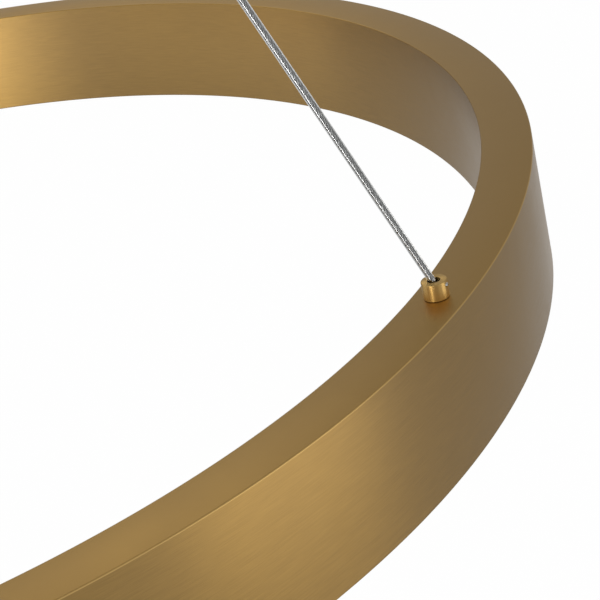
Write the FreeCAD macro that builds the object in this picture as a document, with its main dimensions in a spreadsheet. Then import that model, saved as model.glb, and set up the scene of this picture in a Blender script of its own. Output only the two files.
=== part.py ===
import FreeCAD, Part
import math
import os
import re
import Sketcher

# A round LED pendant light: a ring lamp that hangs on three slanting cables below a ceiling canopy.
# Millimetres and degrees. The origin is the canopy's centre on the ceiling, and +Z is up.

SIZES = {
    # ring profile, an upside-down U rolled into a circle
    "ring_outer_radius": 300.0,
    "ring_width": 18.0,
    "ring_height": 48.0,
    "ring_wall": 1.6,
    "ring_web": 2.0,
    "ring_edge": 0.5,
    "ring_drop": 507.5,
    "rib_depth": 1.0,
    "rib_thickness": 1.2,
    "bead_depth": 0.6,
    "bead_height": 0.8,
    "bead_rise": 3.4,
    # LED carrier, strip and chips inside the ring
    "carrier_level": 20.9,
    "carrier_thickness": 1.5,
    "carrier_slack": 0.2,
    "strip_width": 7.0,
    "strip_thickness": 0.25,
    "chip_length": 3.5,
    "chip_width": 2.8,
    "chip_height": 0.8,
    "chip_count": 144,
    "pad_length": 2.2,
    "pad_width": 3.0,
    "pad_thickness": 0.5,
    # diffuser with snap legs, flush with the ring's lower edge
    "diffuser_floor": 1.5,
    "diffuser_gap": 0.15,
    "diffuser_leg": 1.2,
    "diffuser_hook": 0.5,
    "hook_height": 1.2,
    "hook_gap": 0.1,
    # ferrules on the ring's top face
    "ferrule_inset": 0.9,
    "ferrule_wall": 2.0,
    "ferrule_height": 5.6,
    "ferrule_chamfer": 0.3,
    "ferrule_lip": 0.15,
    "mouth_gap": 0.75,
    "mouth_depth": 4.8,
    "shank_wall": 1.0,
    "shank_length": 7.0,
    "shank_gap": 0.1,
    "thread_gap": 0.02,
    "washer_rim": 2.1,
    "washer_thickness": 0.6,
    "nut_wall": 1.5,
    "nut_height": 2.5,
    "grub_radius": 1.0,
    "grub_depth": 1.6,
    "grub_proud": 0.4,
    "grub_socket": 0.5,
    "grub_socket_depth": 0.6,
    # cables, their stops and the ring's leads
    "cable_radius": 1.2,
    "cable_gap": 0.3,
    "gripper_bend": 9.2,
    "ferrule_bend": 5.0,
    "ferrule_bend_depth": 1.15,
    "crimp_wall": 1.0,
    "stop_length": 6.0,
    "stop_floor": 0.8,
    "stop_gap": 0.1,
    "crimp_gap": 0.05,
    "lead_radius": 0.6,
    "lead_bend": 1.15,
    "lead_clear": 1.5,
    "lead_hole": 1.2,
    # canopy and ceiling bracket
    "canopy_radius": 100.0,
    "canopy_height": 36.0,
    "canopy_wall": 1.0,
    "canopy_corner": 4.0,
    "strap_width": 22.0,
    "strap_thickness": 2.0,
    "tab_length": 16.0,
    "tab_gap": 0.3,
    "slot_spacing": 70.0,
    "slot_length": 14.0,
    "slot_width": 5.0,
    "side_screw_radius": 2.0,
    "side_screw_length": 14.0,
    "side_screw_level": 9.0,
    "side_head_radius": 4.0,
    "side_head_height": 3.0,
    "side_slot_width": 1.0,
    "side_slot_depth": 1.2,
    "screw_gap": 0.2,
    "head_gap": 0.05,
    # cable grippers
    "gripper_inset": 25.0,
    "gripper_flange": 2.0,
    "gripper_length": 20.0,
    "gripper_chamfer": 1.0,
    "gripper_wall": 1.0,
    "gripper_top": 12.0,
    "locknut_wall": 2.0,
    "locknut_height": 3.0,
    "cone_level": 4.0,
    "cone_length": 4.5,
    "cone_rise": 0.9,
    "cone_step": 0.45,
    "cap_height": 2.0,
    "plunger_wall": 1.1,
    "plunger_nose": 6.0,
    "plunger_flare": 0.7,
    "plunger_chamfer": 0.2,
    "collar_gap": 0.3,
    "collar_height": 1.5,
    "collar_level": 2.0,
    "guide_gap": 0.05,
    "ball_radius": 1.0,
    "ball_gap": 0.05,
    "spring_clear": 0.5,
    "spring_gap": 0.05,
    "spring_wire": 0.3,
    "spring_turns": 8.0,
    # LED driver on the canopy's floor
    "mount_pad": 1.0,
    "driver_length": 100.0,
    "driver_width": 44.0,
    "driver_headroom": 0.3,
    "driver_wall": 1.6,
    "lid_thickness": 1.6,
    "lid_lip": 1.2,
    "lid_gap": 0.1,
    "boss_radius": 3.0,
    "lid_screw_radius": 1.25,
    "lid_head_radius": 2.2,
    "lid_head_height": 1.4,
    "board_thickness": 1.6,
    "board_level": 3.0,
    "board_gap": 0.4,
    "transformer_length": 24.0,
    "transformer_width": 20.0,
    "transformer_height": 9.0,
    "capacitor_radius": 4.0,
    "capacitor_drop": 0.5,
    "output_radius": 2.5,
    "output_height": 3.0,
    # mains terminal block, leads and earth screw
    "block_length": 36.0,
    "block_width": 16.0,
    "block_height": 16.0,
    "block_offset": 54.0,
    "pole_spacing": 11.0,
    "pole_screw_radius": 1.6,
    "pole_screw_length": 6.0,
    "pole_screw_spacing": 8.0,
    "pole_hole_gap": 0.15,
    "pole_slot_width": 0.5,
    "pole_slot_depth": 1.2,
    "wire_radius": 0.9,
    "wire_hole_depth": 4.0,
    "wire_drop": 1.1,
    "flush_gap": 0.1,
    "earth_offset": 14.0,
    "earth_radius": 2.0,
    "earth_head_radius": 3.5,
    "earth_head_height": 2.2,
    "earth_terminal_radius": 4.0,
    "earth_terminal_thickness": 0.8,
}

# the cables' places round the axis: the first one leads to the ferrule seen from the front right
AZIMUTHS = {1: 330, 2: 90, 3: 210}
FED = (1, 2)
CENTRE = FreeCAD.Vector(0, 0, 0)
X_AXIS = FreeCAD.Vector(1, 0, 0)
Y_AXIS = FreeCAD.Vector(0, 1, 0)
Z_AXIS = FreeCAD.Vector(0, 0, 1)
CORNER = 1 / math.cos(math.radians(30))

doc = FreeCAD.newDocument("ring_pendant")
sheet = doc.addObject("Spreadsheet::Sheet", "dims")
for row, (alias, size) in enumerate(SIZES.items(), start=1):
    sheet.set(f"A{row}", alias)
    sheet.set(f"B{row}", str(size))
    sheet.setAlias(f"B{row}", alias)
doc.recompute()
nodes = []


# names, formulas and places

def formula(text):
    """The text with each size's name pointed at its cell in the sheet."""
    return re.sub(r"\b[a-z]+(?:_[a-z]+)+\b", lambda found: "dims." + found.group(), text)


def number(text):
    return float(sheet.evalExpression(formula(text)))


def bind(thing, **formulas):
    for name, text in formulas.items():
        thing.setExpression(name, formula(text))
    return thing


def place(thing, x="0", y="0", z="0", turn=0, axis=Z_AXIS):
    """Puts a thing at a place worked out from the sheet, turned about one axis."""
    thing.Placement = FreeCAD.Placement(CENTRE, FreeCAD.Rotation(axis, turn))
    for letter, text in zip("xyz", (x, y, z)):
        thing.setExpression(f"Placement.Base.{letter}", formula(text))
    return thing


def around(circle, azimuth):
    """The x and y of a point on a circle round the axis, as formulas."""
    return f"({circle}) * cos({azimuth} deg)", f"({circle}) * sin({azimuth} deg)"


def keep(thing, label):
    """The thing is a sub-part, written to a file of that name."""
    thing.Label = label
    nodes.append(thing)
    return thing


# Part primitives and booleans

def box(name, length, width, height, x="0", y="0", z="0"):
    """A box centred on x and y, standing on z."""
    thing = bind(doc.addObject("Part::Box", name), Length=length, Width=width, Height=height)
    return place(thing, f"({x}) - ({length}) / 2", f"({y}) - ({width}) / 2", z)


def cylinder(name, radius, height, x="0", y="0", z="0", turn=0, axis=Z_AXIS):
    thing = bind(doc.addObject("Part::Cylinder", name), Radius=radius, Height=height)
    return place(thing, x, y, z, turn, axis)


def hexagon(name, flats, height, x="0", y="0", z="0", turn=0):
    thing = doc.addObject("Part::Prism", name)
    thing.Polygon = 6
    bind(thing, Circumradius=f"({flats}) / 2 * {CORNER}", Height=height)
    return place(thing, x, y, z, turn)


def fuse(name, *things):
    whole = doc.addObject("Part::MultiFuse", name)
    whole.Shapes = list(things)
    whole.Refine = True
    return whole


def cut(name, base, *tools):
    rest = doc.addObject("Part::Cut", name)
    rest.Base = base
    rest.Tool = tools[0] if len(tools) == 1 else fuse(name + "_tools", *tools)
    rest.Refine = True
    return rest


def group(label, things):
    """Several separate solids in one sub-part."""
    whole = doc.addObject("Part::Compound", label)
    whole.Links = things
    return keep(whole, label)


# PartDesign bodies

def new_body(label):
    return doc.addObject("PartDesign::Body", label)


def new_sketch(body, name, role):
    sketch = body.newObject("Sketcher::SketchObject", name)
    plane = next(feature for feature in body.Origin.OriginFeatures if feature.Role == role)
    sketch.AttachmentSupport = (plane, "")
    sketch.MapMode = "FlatFace"
    return sketch


def pin_point(sketch, item, end, x, y):
    """Fixes one point of a sketch's geometry to formulas of the sheet."""
    for kind, axis, text in (("DistanceX", -2, x), ("DistanceY", -1, y)):
        if text == "0":
            sketch.addConstraint(Sketcher.Constraint("PointOnObject", item, end, axis))
        else:
            datum = sketch.addConstraint(Sketcher.Constraint(kind, -1, 1, item, end, number(text)))
            sketch.setExpression(f"Constraints[{datum}]", formula(text))


def turned(label, outline):
    """A body turned about its Z axis from a closed outline of (radius, height) formulas."""
    body = new_body(label)
    sketch = new_sketch(body, label + "_outline", "XZ_Plane")
    points = [FreeCAD.Vector(number(r), number(z), 0) for r, z in outline]
    count = len(points)
    for i in range(count):
        sketch.addGeometry(Part.LineSegment(points[i], points[(i + 1) % count]), False)
    for i in range(count):
        sketch.addConstraint(Sketcher.Constraint("Coincident", i, 2, (i + 1) % count, 1))
    for i, (r, z) in enumerate(outline):
        pin_point(sketch, i, 1, r, z)
    turn = body.newObject("PartDesign::Revolution", label + "_turn")
    turn.Profile = sketch
    turn.ReferenceAxis = (sketch, ["V_Axis"])
    turn.Angle = 360
    doc.recompute()
    return body


def drill(body, name, role, x, y, radius, side="Symmetric", depth=None):
    """A round pocket through the body, or as deep as depth on the positive side of its plane."""
    sketch = new_sketch(body, name + "_circle", role)
    middle = FreeCAD.Vector(number(x), number(y), 0)
    sketch.addGeometry(Part.Circle(middle, Z_AXIS, number(radius)), False)
    pin_point(sketch, 0, 3, x, y)
    datum = sketch.addConstraint(Sketcher.Constraint("Radius", 0, number(radius)))
    sketch.setExpression(f"Constraints[{datum}]", formula(radius))
    pocket = body.newObject("PartDesign::Pocket", name)
    pocket.Profile = sketch
    pocket.SideType = side
    if depth is None:
        pocket.Type = "ThroughAll"
    else:
        pocket.Type = "Length"
        pocket.Reversed = True
        bind(pocket, Length=depth)
    doc.recompute()
    return pocket, sketch


def repeat(body, feature, sketch, count, axis="N_Axis"):
    """The feature, repeated evenly round an axis of its sketch: by default, the one that it faces."""
    pattern = body.newObject("PartDesign::PolarPattern", feature.Name + "_pattern")
    pattern.Originals = [feature]
    pattern.Axis = (sketch, [axis])
    pattern.Angle = 360
    pattern.Occurrences = count
    body.Tip = pattern
    doc.recompute()


def round_edges(body, radius, circles):
    """Fillets the circular edges at the given (radius, height) formulas."""
    base = body.Tip
    wanted = [(number(r), number(z)) for r, z in circles]
    names = []
    for i, edge in enumerate(base.Shape.Edges, start=1):
        if isinstance(edge.Curve, Part.Circle):
            size, level = edge.Curve.Radius, edge.Curve.Center.z
            if any(abs(size - r) < 1e-4 and abs(level - z) < 1e-4 for r, z in wanted):
                names.append(f"Edge{i}")
    fillet = body.newObject("PartDesign::Fillet", body.Name + "_edges")
    fillet.Base = (base, names)
    bind(fillet, Radius=radius)
    body.Tip = fillet
    doc.recompute()


# tubes along straight runs and tangent arcs

def tangent_arc(start, corner, end):
    """The arc that touches the lines from the corner to its two ends, which are equally far away."""
    to_start = (start - corner).normalize()
    to_end = (end - corner).normalize()
    half_turn = (math.pi - to_start.getAngle(to_end)) / 2
    bend = (start - corner).Length / math.tan(half_turn)
    inward = (to_start + to_end).normalize()
    middle = corner + inward * (bend / math.cos(half_turn) - bend)
    return Part.Arc(start, middle, end).toShape()


def pipe(edges, start, direction, radius):
    """A round tube along joined edges, and its length. Its volume has to be its section times its length."""
    section = Part.Wire(Part.Circle(start, direction, radius).toShape())
    shape = Part.Wire(edges).makePipeShell([section], True, False)
    length = sum(edge.Length for edge in edges)
    expected = math.pi * radius**2 * length
    if abs(shape.Volume - expected) > 0.002 * expected:
        raise ValueError(f"a tube holds {shape.Volume:.2f} mm3 and should hold {expected:.2f}")
    return shape, length


def tube_shape(points, bends, radius):
    """A round tube along the points, its length and the radii of its arcs.

    Each inner point has an arc of the wanted radius, or a smaller one where its runs have no room.
    """
    edges = []
    radii = []
    start = points[0]
    rooms = [(b - a).Length * SHARED_RUN_SHARE for a, b in zip(points, points[1:])]
    for end_run in (0, -1):
        rooms[end_run] *= LAST_RUN_SHARE / SHARED_RUN_SHARE
    for i, wanted in enumerate(bends, start=1):
        corner = points[i]
        to_start = (points[i - 1] - corner).normalize()
        to_end = (points[i + 1] - corner).normalize()
        slope = math.tan((math.pi - to_start.getAngle(to_end)) / 2)
        reach = min(wanted * slope, *rooms[i - 1:i + 1])
        radii.append(round(reach / slope, 2))
        first = corner + to_start * reach
        last = corner + to_end * reach
        edges += [Part.LineSegment(start, first).toShape(), tangent_arc(first, corner, last)]
        start = last
    edges.append(Part.LineSegment(start, points[-1]).toShape())
    shape, length = pipe(edges, points[0], points[1] - points[0], radius)
    return shape, length, radii


def helix_edges(radius, height, turns):
    """A helix about Z from z = 0 up, each half turn as two tangent arcs, and its direction at the start."""
    rise = height / (2 * turns)
    slope = math.atan2(rise, math.pi * radius)

    def spot(half):
        side = math.cos(math.pi * half)
        place_there = FreeCAD.Vector(radius * side, 0, rise * half)
        return place_there, FreeCAD.Vector(0, side * math.cos(slope), math.sin(slope))

    edges = []
    for half in range(round(2 * turns)):
        first, leaving = spot(half)
        last, arriving = spot(half + 1)
        across = last - first
        both = across.dot(leaving + arriving)
        spread = 2 * (1 - leaving.dot(arriving))
        reach = (math.sqrt(both**2 + spread * across.dot(across)) - both) / spread
        before, after = first + leaving * reach, last - arriving * reach
        joint = (before + after) * 0.5
        edges += [tangent_arc(first, before, joint), tangent_arc(joint, after, last)]
    return edges, spot(0)[1]


def tube(label, routes, bends, radius):
    """One sub-part of one or more tubes, each along its own route."""
    shapes = []
    for route in routes:
        shape, length, radii = tube_shape(route, bends, radius)
        print(f"{label}: length {length:.1f}, bend radii {radii}")
        shapes.append(shape)
    thing = doc.addObject("Part::Feature", label)
    thing.Shape = shapes[0] if len(shapes) == 1 else Part.makeCompound(shapes)
    return keep(thing, label)


def polar_point(circle, azimuth, level):
    angle = math.radians(azimuth)
    return FreeCAD.Vector(circle * math.cos(angle), circle * math.sin(angle), level)


# shared sizes, as formulas: first the ring, then all that goes round a cable

RING_INNER = "(ring_outer_radius - ring_width)"
INNER_FACE = f"({RING_INNER} + ring_wall)"
OUTER_FACE = "(ring_outer_radius - ring_wall)"
RING_MIDDLE = "(ring_outer_radius - ring_width / 2)"
BEAD_LEVEL = "(ring_height - bead_rise)"
STRIP_UNDER = "(-carrier_level - strip_thickness)"
LEAD_CIRCLE = f"({RING_MIDDLE} - strip_width / 2 - lead_clear)"
FERRULE_CIRCLE = f"({RING_MIDDLE} - ferrule_inset)"
CABLE_BORE = "(cable_radius + cable_gap)"
FERRULE_MOUTH = "(cable_radius + mouth_gap)"
FERRULE_RADIUS = f"({FERRULE_MOUTH} + ferrule_wall)"
SHANK_RADIUS = f"({CABLE_BORE} + shank_wall)"
STOP_RADIUS = "(cable_radius + crimp_wall)"
GRUB_LEVEL = "(ferrule_height - grub_depth)"
PLUNGER_RADIUS = f"({CABLE_BORE} + plunger_wall)"
CONE_END = f"({PLUNGER_RADIUS} + guide_gap + cone_step)"
CHAMBER_RADIUS = f"({CONE_END} + cone_rise)"
GRIPPER_SHANK = f"({CHAMBER_RADIUS} + gripper_wall)"
NOSE_LEVEL = "(gripper_length + plunger_nose)"

# what stands in the canopy
CANOPY_FLOOR = "(-canopy_height + canopy_wall)"
GRIPPER_CIRCLE = "(canopy_radius - gripper_inset)"
DRIVER_BASE = f"({CANOPY_FLOOR} + mount_pad)"
DRIVER_FLOOR = f"({DRIVER_BASE} + driver_wall)"
BOARD_TOP = f"({DRIVER_FLOOR} + board_level + board_thickness)"
LID_BASE = f"({BOARD_TOP} + transformer_height + driver_headroom + lid_lip)"
DRIVER_TOP = f"({LID_BASE} + lid_thickness)"
OUTPUT_SIDE = "(driver_width / 2 - output_radius * 2)"
# each output terminal stands on the lid near its own cable's gripper
OUTPUTS = {1: ("driver_length / 4", f"-{OUTPUT_SIDE}"), 2: ("0", OUTPUT_SIDE)}
# the part of the room above the carrier that a lead takes for each of its upright runs
LEAD_SHARE = 0.35
# the part of a run that an arc may take: all but an end of a last run, and half of a shared one
LAST_RUN_SHARE = 0.9
SHARED_RUN_SHARE = 0.45


# ring profile

def wall_inside(face, inward):
    """One wall's inner face from the lower edge up to the web: bead, lower rib and upper rib."""
    upper_rib = "carrier_level - carrier_thickness - carrier_slack"
    steps = [
        ("bead_depth", f"{BEAD_LEVEL} + bead_height", BEAD_LEVEL),
        ("rib_depth", "carrier_level + rib_thickness", "carrier_level"),
        ("rib_depth", upper_rib, f"{upper_rib} - rib_thickness"),
    ]
    points = [(face, "-ring_height")]
    for depth, low, high in steps:
        tip = f"{face} {inward} {depth}"
        points += [(face, f"-({low})"), (tip, f"-({low})"), (tip, f"-({high})"), (face, f"-({high})")]
    return points + [(face, "-ring_web")]


def make_ring_profile():
    outline = [(RING_INNER, "-ring_height"), (RING_INNER, "0")]
    outline += [("ring_outer_radius", "0"), ("ring_outer_radius", "-ring_height")]
    outline += wall_inside(OUTER_FACE, "-") + wall_inside(INNER_FACE, "+")[::-1]
    body = turned("ring_profile", outline)
    hole, circle = drill(body, "web_hole", "XY_Plane", "0", FERRULE_CIRCLE, f"{SHANK_RADIUS} + shank_gap")
    repeat(body, hole, circle, len(AZIMUTHS))
    edges = [(radius, level) for radius in (RING_INNER, "ring_outer_radius")
             for level in ("0", "-ring_height")]
    round_edges(body, "ring_edge", edges)
    return keep(place(body, z="-ring_drop"), "ring_profile")


# LED carrier, strip, chips and solder pads

def make_carrier():
    low, high = "-carrier_level", "-carrier_level + carrier_thickness"
    inner, outer = f"{INNER_FACE} + carrier_slack", f"{OUTER_FACE} - carrier_slack"
    body = turned("led_carrier", [(inner, low), (outer, low), (outer, high), (inner, high)])
    for i in FED:
        x, y = around(LEAD_CIRCLE, AZIMUTHS[i])
        drill(body, f"lead_hole_{i}", "XY_Plane", x, y, "lead_hole")
    return keep(place(body, z="-ring_drop"), "led_carrier")


def make_strip():
    inner, outer = f"{RING_MIDDLE} - strip_width / 2", f"{RING_MIDDLE} + strip_width / 2"
    top = "-carrier_level"
    outline = [(inner, STRIP_UNDER), (outer, STRIP_UNDER), (outer, top), (inner, top)]
    return keep(place(turned("led_strip", outline), z="-ring_drop"), "led_strip")


def make_chips():
    width, length, height = number("chip_width"), number("chip_length"), number("chip_height")
    count = round(number("chip_count"))
    inside = number(f"{RING_MIDDLE} - chip_width / 2")
    corner = FreeCAD.Vector(inside, -length / 2, number(STRIP_UNDER) - height)
    chips = []
    for i in range(count):
        chip = Part.makeBox(width, length, height, corner)
        chip.rotate(CENTRE, Z_AXIS, 360 * (i + 0.5) / count)
        chips.append(chip)
    thing = doc.addObject("Part::Feature", "led_chips")
    thing.Shape = Part.makeCompound(chips)
    place(thing, z="-ring_drop")
    return keep(thing, "led_chips")


def make_solder_pads():
    pads = []
    for i in FED:
        pad = bind(doc.addObject("Part::Box", f"solder_pad_{i}"), Length="pad_length", Width="pad_width",
                   Height="pad_thickness")
        edge = f"({RING_MIDDLE} - strip_width / 2)"
        angle = f"{AZIMUTHS[i]} deg"
        x = f"{edge} * cos({angle}) + pad_width / 2 * sin({angle})"
        y = f"{edge} * sin({angle}) - pad_width / 2 * cos({angle})"
        pads.append(place(pad, x, y, f"-ring_drop + {STRIP_UNDER} - pad_thickness", AZIMUTHS[i]))
    return group("solder_pads", pads)


# diffuser

def make_diffuser():
    floor_top = "-ring_height + diffuser_floor"
    hook_low = f"-{BEAD_LEVEL} + hook_gap"
    hook_high = f"{hook_low} + hook_height"

    def leg(face, inward, outward):
        back = f"{face} {inward} bead_depth {inward} diffuser_gap"
        front = f"{back} {inward} diffuser_leg"
        tip = f"{back} {outward} diffuser_hook"
        return [(back, floor_top), (back, hook_low), (tip, hook_low), (tip, hook_high),
                (front, hook_high), (front, floor_top)]

    inner, outer = f"{INNER_FACE} + diffuser_gap", f"{OUTER_FACE} - diffuser_gap"
    outline = [(inner, "-ring_height"), (outer, "-ring_height"), (outer, floor_top)]
    outline += leg(OUTER_FACE, "-", "+") + leg(INNER_FACE, "+", "-")[::-1] + [(inner, floor_top)]
    return keep(place(turned("diffuser", outline), z="-ring_drop"), "diffuser")


# ferrules with their washers, nuts, grub screws and cable stops

def make_ferrule(i):
    top = "ferrule_height"
    step = "ferrule_height - mouth_depth"
    outline = [
        (f"{FERRULE_MOUTH} + ferrule_lip", top), (f"{FERRULE_RADIUS} - ferrule_chamfer", top),
        (FERRULE_RADIUS, f"{top} - ferrule_chamfer"), (FERRULE_RADIUS, "0"), (SHANK_RADIUS, "0"),
        (SHANK_RADIUS, "-shank_length"), (CABLE_BORE, "-shank_length"), (CABLE_BORE, step),
        (FERRULE_MOUTH, step), (FERRULE_MOUTH, f"{top} - ferrule_lip"),
    ]
    body = turned(f"ferrule_{i}", outline)
    drill(body, f"grub_hole_{i}", "YZ_Plane", "0", GRUB_LEVEL, "grub_radius + thread_gap", "One side",
          f"{FERRULE_RADIUS} + grub_proud")
    x, y = around(FERRULE_CIRCLE, AZIMUTHS[i])
    return keep(place(body, x, y, "-ring_drop", AZIMUTHS[i]), f"ferrule_{i}")


def make_ferrule_fixings():
    washers, nuts, grubs, stops = [], [], [], []
    for i, azimuth in AZIMUTHS.items():
        x, y = around(FERRULE_CIRCLE, azimuth)
        below = "-ring_drop - ring_web - washer_thickness"
        disc = cylinder(f"washer_disc_{i}", f"{SHANK_RADIUS} + washer_rim", "washer_thickness", x, y, below)
        hole = cylinder(f"washer_hole_{i}", f"{SHANK_RADIUS} + shank_gap", "washer_thickness", x, y, below)
        washers.append(cut(f"washer_{i}", disc, hole))
        under = f"{below} - nut_height"
        block = hexagon(f"nut_block_{i}", f"2 * ({SHANK_RADIUS} + nut_wall)", "nut_height", x, y, under,
                        azimuth)
        bore = cylinder(f"nut_bore_{i}", f"{SHANK_RADIUS} + thread_gap", "nut_height", x, y, under)
        nuts.append(cut(f"nut_{i}", block, bore))
        grubs.append(make_grub(i, azimuth))
        top = "-ring_drop - shank_length - stop_gap"
        sleeve = cylinder(f"stop_sleeve_{i}", STOP_RADIUS, "stop_length", x, y, f"{top} - stop_length")
        bore = cylinder(f"stop_bore_{i}", "cable_radius + crimp_gap", "stop_length - stop_floor", x, y,
                        f"{top} - stop_length + stop_floor")
        stops.append(cut(f"stop_{i}", sleeve, bore))
    group("ferrule_washers", washers)
    group("ferrule_nuts", nuts)
    group("ferrule_grub_screws", grubs)
    group("cable_stops", stops)


def make_grub(i, azimuth):
    """A headless screw in the ferrule's outer side, its socket facing away from the ring's centre."""
    sideways = FreeCAD.Vector(-math.sin(math.radians(azimuth)), math.cos(math.radians(azimuth)), 0)
    level = f"-ring_drop + {GRUB_LEVEL}"
    x, y = around(f"{FERRULE_CIRCLE} + {FERRULE_MOUTH}", azimuth)
    pin = cylinder(f"grub_pin_{i}", "grub_radius", "ferrule_wall + grub_proud", x, y, level, 90, sideways)
    x, y = around(f"{FERRULE_CIRCLE} + {FERRULE_RADIUS} + grub_proud - grub_socket_depth", azimuth)
    socket = hexagon(f"grub_socket_{i}", "grub_socket * 2", "grub_socket_depth", x, y, level)
    socket.Placement.Rotation = FreeCAD.Rotation(sideways, 90)
    return cut(f"grub_{i}", pin, socket)


# cables

def cable_route(azimuth):
    """From the gripper's cap straight down, out of the plunger, along the slope and into the ferrule."""
    under = -number("canopy_height")
    circle, ferrule = number(GRIPPER_CIRCLE), number(FERRULE_CIRCLE)
    ring_top = -number("ring_drop")
    end = ring_top - number("shank_length + stop_length - stop_floor")
    return [
        polar_point(circle, azimuth, under + number("gripper_top")),
        polar_point(circle, azimuth, under - number(NOSE_LEVEL)),
        polar_point(ferrule, azimuth, ring_top + number("ferrule_height - ferrule_bend_depth")),
        polar_point(ferrule, azimuth, end),
    ]


def make_cables():
    bends = [number("gripper_bend"), number("ferrule_bend")]
    for i, azimuth in AZIMUTHS.items():
        tube(f"cable_{i}", [cable_route(azimuth)], bends, number("cable_radius"))


def tail_route(i):
    """From a gripper's cap over to an output terminal on the driver's lid."""
    crest = number("-strap_thickness - cable_radius * 3")
    gripper = polar_point(number(GRIPPER_CIRCLE), AZIMUTHS[i], number("gripper_top - canopy_height"))
    x, y = (number(text) for text in OUTPUTS[i])
    end = FreeCAD.Vector(x, y, number(f"{DRIVER_TOP} + output_height"))
    return [gripper, FreeCAD.Vector(gripper.x, gripper.y, crest), FreeCAD.Vector(x, y, crest), end]


def make_tails():
    bend = number("cable_radius * 4")
    tube("cable_tails", [tail_route(i) for i in FED], [bend, bend], number("cable_radius"))
    crimp = cylinder("end_sleeve_body", STOP_RADIUS, "stop_length",
                     *around(GRIPPER_CIRCLE, AZIMUTHS[3]), "gripper_top - canopy_height")
    keep(crimp, "cable_end_sleeve")


def make_ring_leads():
    """From each fed cable's stop through the carrier to its solder pad."""
    routes = []
    top = number("-ring_drop")
    foot = top - number("shank_length + stop_gap + stop_length")
    under = top + number(f"{STRIP_UNDER} - pad_thickness - lead_radius - crimp_gap")
    carrier = top + number("-carrier_level + carrier_thickness")
    ferrule, hole = number(FERRULE_CIRCLE), number(LEAD_CIRCLE)
    pad = number(f"{RING_MIDDLE} - strip_width / 2 + pad_length / 2")
    upright = (foot - carrier) * LEAD_SHARE
    for i in FED:
        spots = [(ferrule, foot), (ferrule, foot - upright), (hole, carrier + upright), (hole, under),
                 (pad, under)]
        routes.append([polar_point(circle, AZIMUTHS[i], level) for circle, level in spots])
    tube("ring_leads", routes, [number("lead_bend")] * 3, number("lead_radius"))


# canopy cup, ceiling bracket and side screws

def make_canopy_cup():
    radius, wall, base = "canopy_radius", "canopy_radius - canopy_wall", "-canopy_height"
    outline = [("0", base), (radius, base), (radius, "0"), (wall, "0"), (wall, CANOPY_FLOOR),
               ("0", CANOPY_FLOOR)]
    body = turned("canopy_cup", outline)
    hole, circle = drill(body, "gripper_hole", "XY_Plane", "0", GRIPPER_CIRCLE,
                         f"{GRIPPER_SHANK} + shank_gap")
    repeat(body, hole, circle, len(AZIMUTHS))
    drill(body, "side_hole", "YZ_Plane", "0", "-side_screw_level", "side_screw_radius + screw_gap")
    round_edges(body, "canopy_corner", [(radius, base)])
    round_edges(body, "canopy_corner - canopy_wall", [(wall, CANOPY_FLOOR)])
    return keep(body, "canopy_cup")


TAB_FACE = "sqrt((canopy_radius - canopy_wall)^2 - (strap_width / 2)^2) - tab_gap"


def make_bracket():
    pieces = [box("strap", f"2 * ({TAB_FACE})", "strap_width", "strap_thickness", z="-strap_thickness")]
    tools = []
    for side in (1, -1):
        middle = f"{side} * ({TAB_FACE} - strap_thickness / 2)"
        pieces.append(box("tab", "strap_thickness", "strap_width", "tab_length", middle, z="-tab_length"))
        tools.append(cylinder("tab_thread", "side_screw_radius + thread_gap", "strap_thickness * 3",
                              f"{middle} - strap_thickness * 1.5", z="-side_screw_level", turn=90,
                              axis=Y_AXIS))
        centre = f"{side} * slot_spacing / 2"
        tools.append(box("slot", "slot_length - slot_width", "slot_width", "strap_thickness", centre,
                         z="-strap_thickness"))
        for end in (1, -1):
            tools.append(cylinder("slot_end", "slot_width / 2", "strap_thickness",
                                  f"{centre} + {end} * (slot_length - slot_width) / 2", z="-strap_thickness"))
    tools.append(cylinder("earth_thread", "earth_radius + thread_gap", "strap_thickness", "-earth_offset",
                          z="-strap_thickness"))
    return keep(cut("bracket", fuse("bracket_blank", *pieces), *tools), "ceiling_bracket")


def make_side_screws():
    screws = []
    for side in (1, -1):
        turn = 90 * side
        start = f"{side} * (canopy_radius + head_gap)"
        head = cylinder("side_head", "side_head_radius", "side_head_height", start, z="-side_screw_level",
                        turn=turn, axis=Y_AXIS)
        shank = cylinder("side_shank", "side_screw_radius", "side_screw_length",
                         f"{side} * (canopy_radius + head_gap - side_screw_length)", z="-side_screw_level",
                         turn=turn, axis=Y_AXIS)
        slot = box("side_slot", "side_slot_depth", "side_slot_width", "side_head_radius * 2",
                   f"{side} * (canopy_radius + head_gap + side_head_height - side_slot_depth / 2)",
                   z="-side_screw_level - side_head_radius")
        screws.append(cut("side_screw", fuse("side_screw_blank", head, shank), slot))
    return group("canopy_side_screws", screws)


# cable grippers: body, cap, locknut, plunger, balls and spring

BALL_TRACK = "(cable_radius + ball_gap + ball_radius)"
CONE_TAPER = "(cone_rise / cone_length)"
CONE_AT_BALL = f"({BALL_TRACK} + (ball_radius + ball_gap) * sqrt(1 + {CONE_TAPER}^2))"
BALL_LEVEL = f"(cone_level + ({CHAMBER_RADIUS} - {CONE_AT_BALL}) / {CONE_TAPER})"
BALLS = 3


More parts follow.
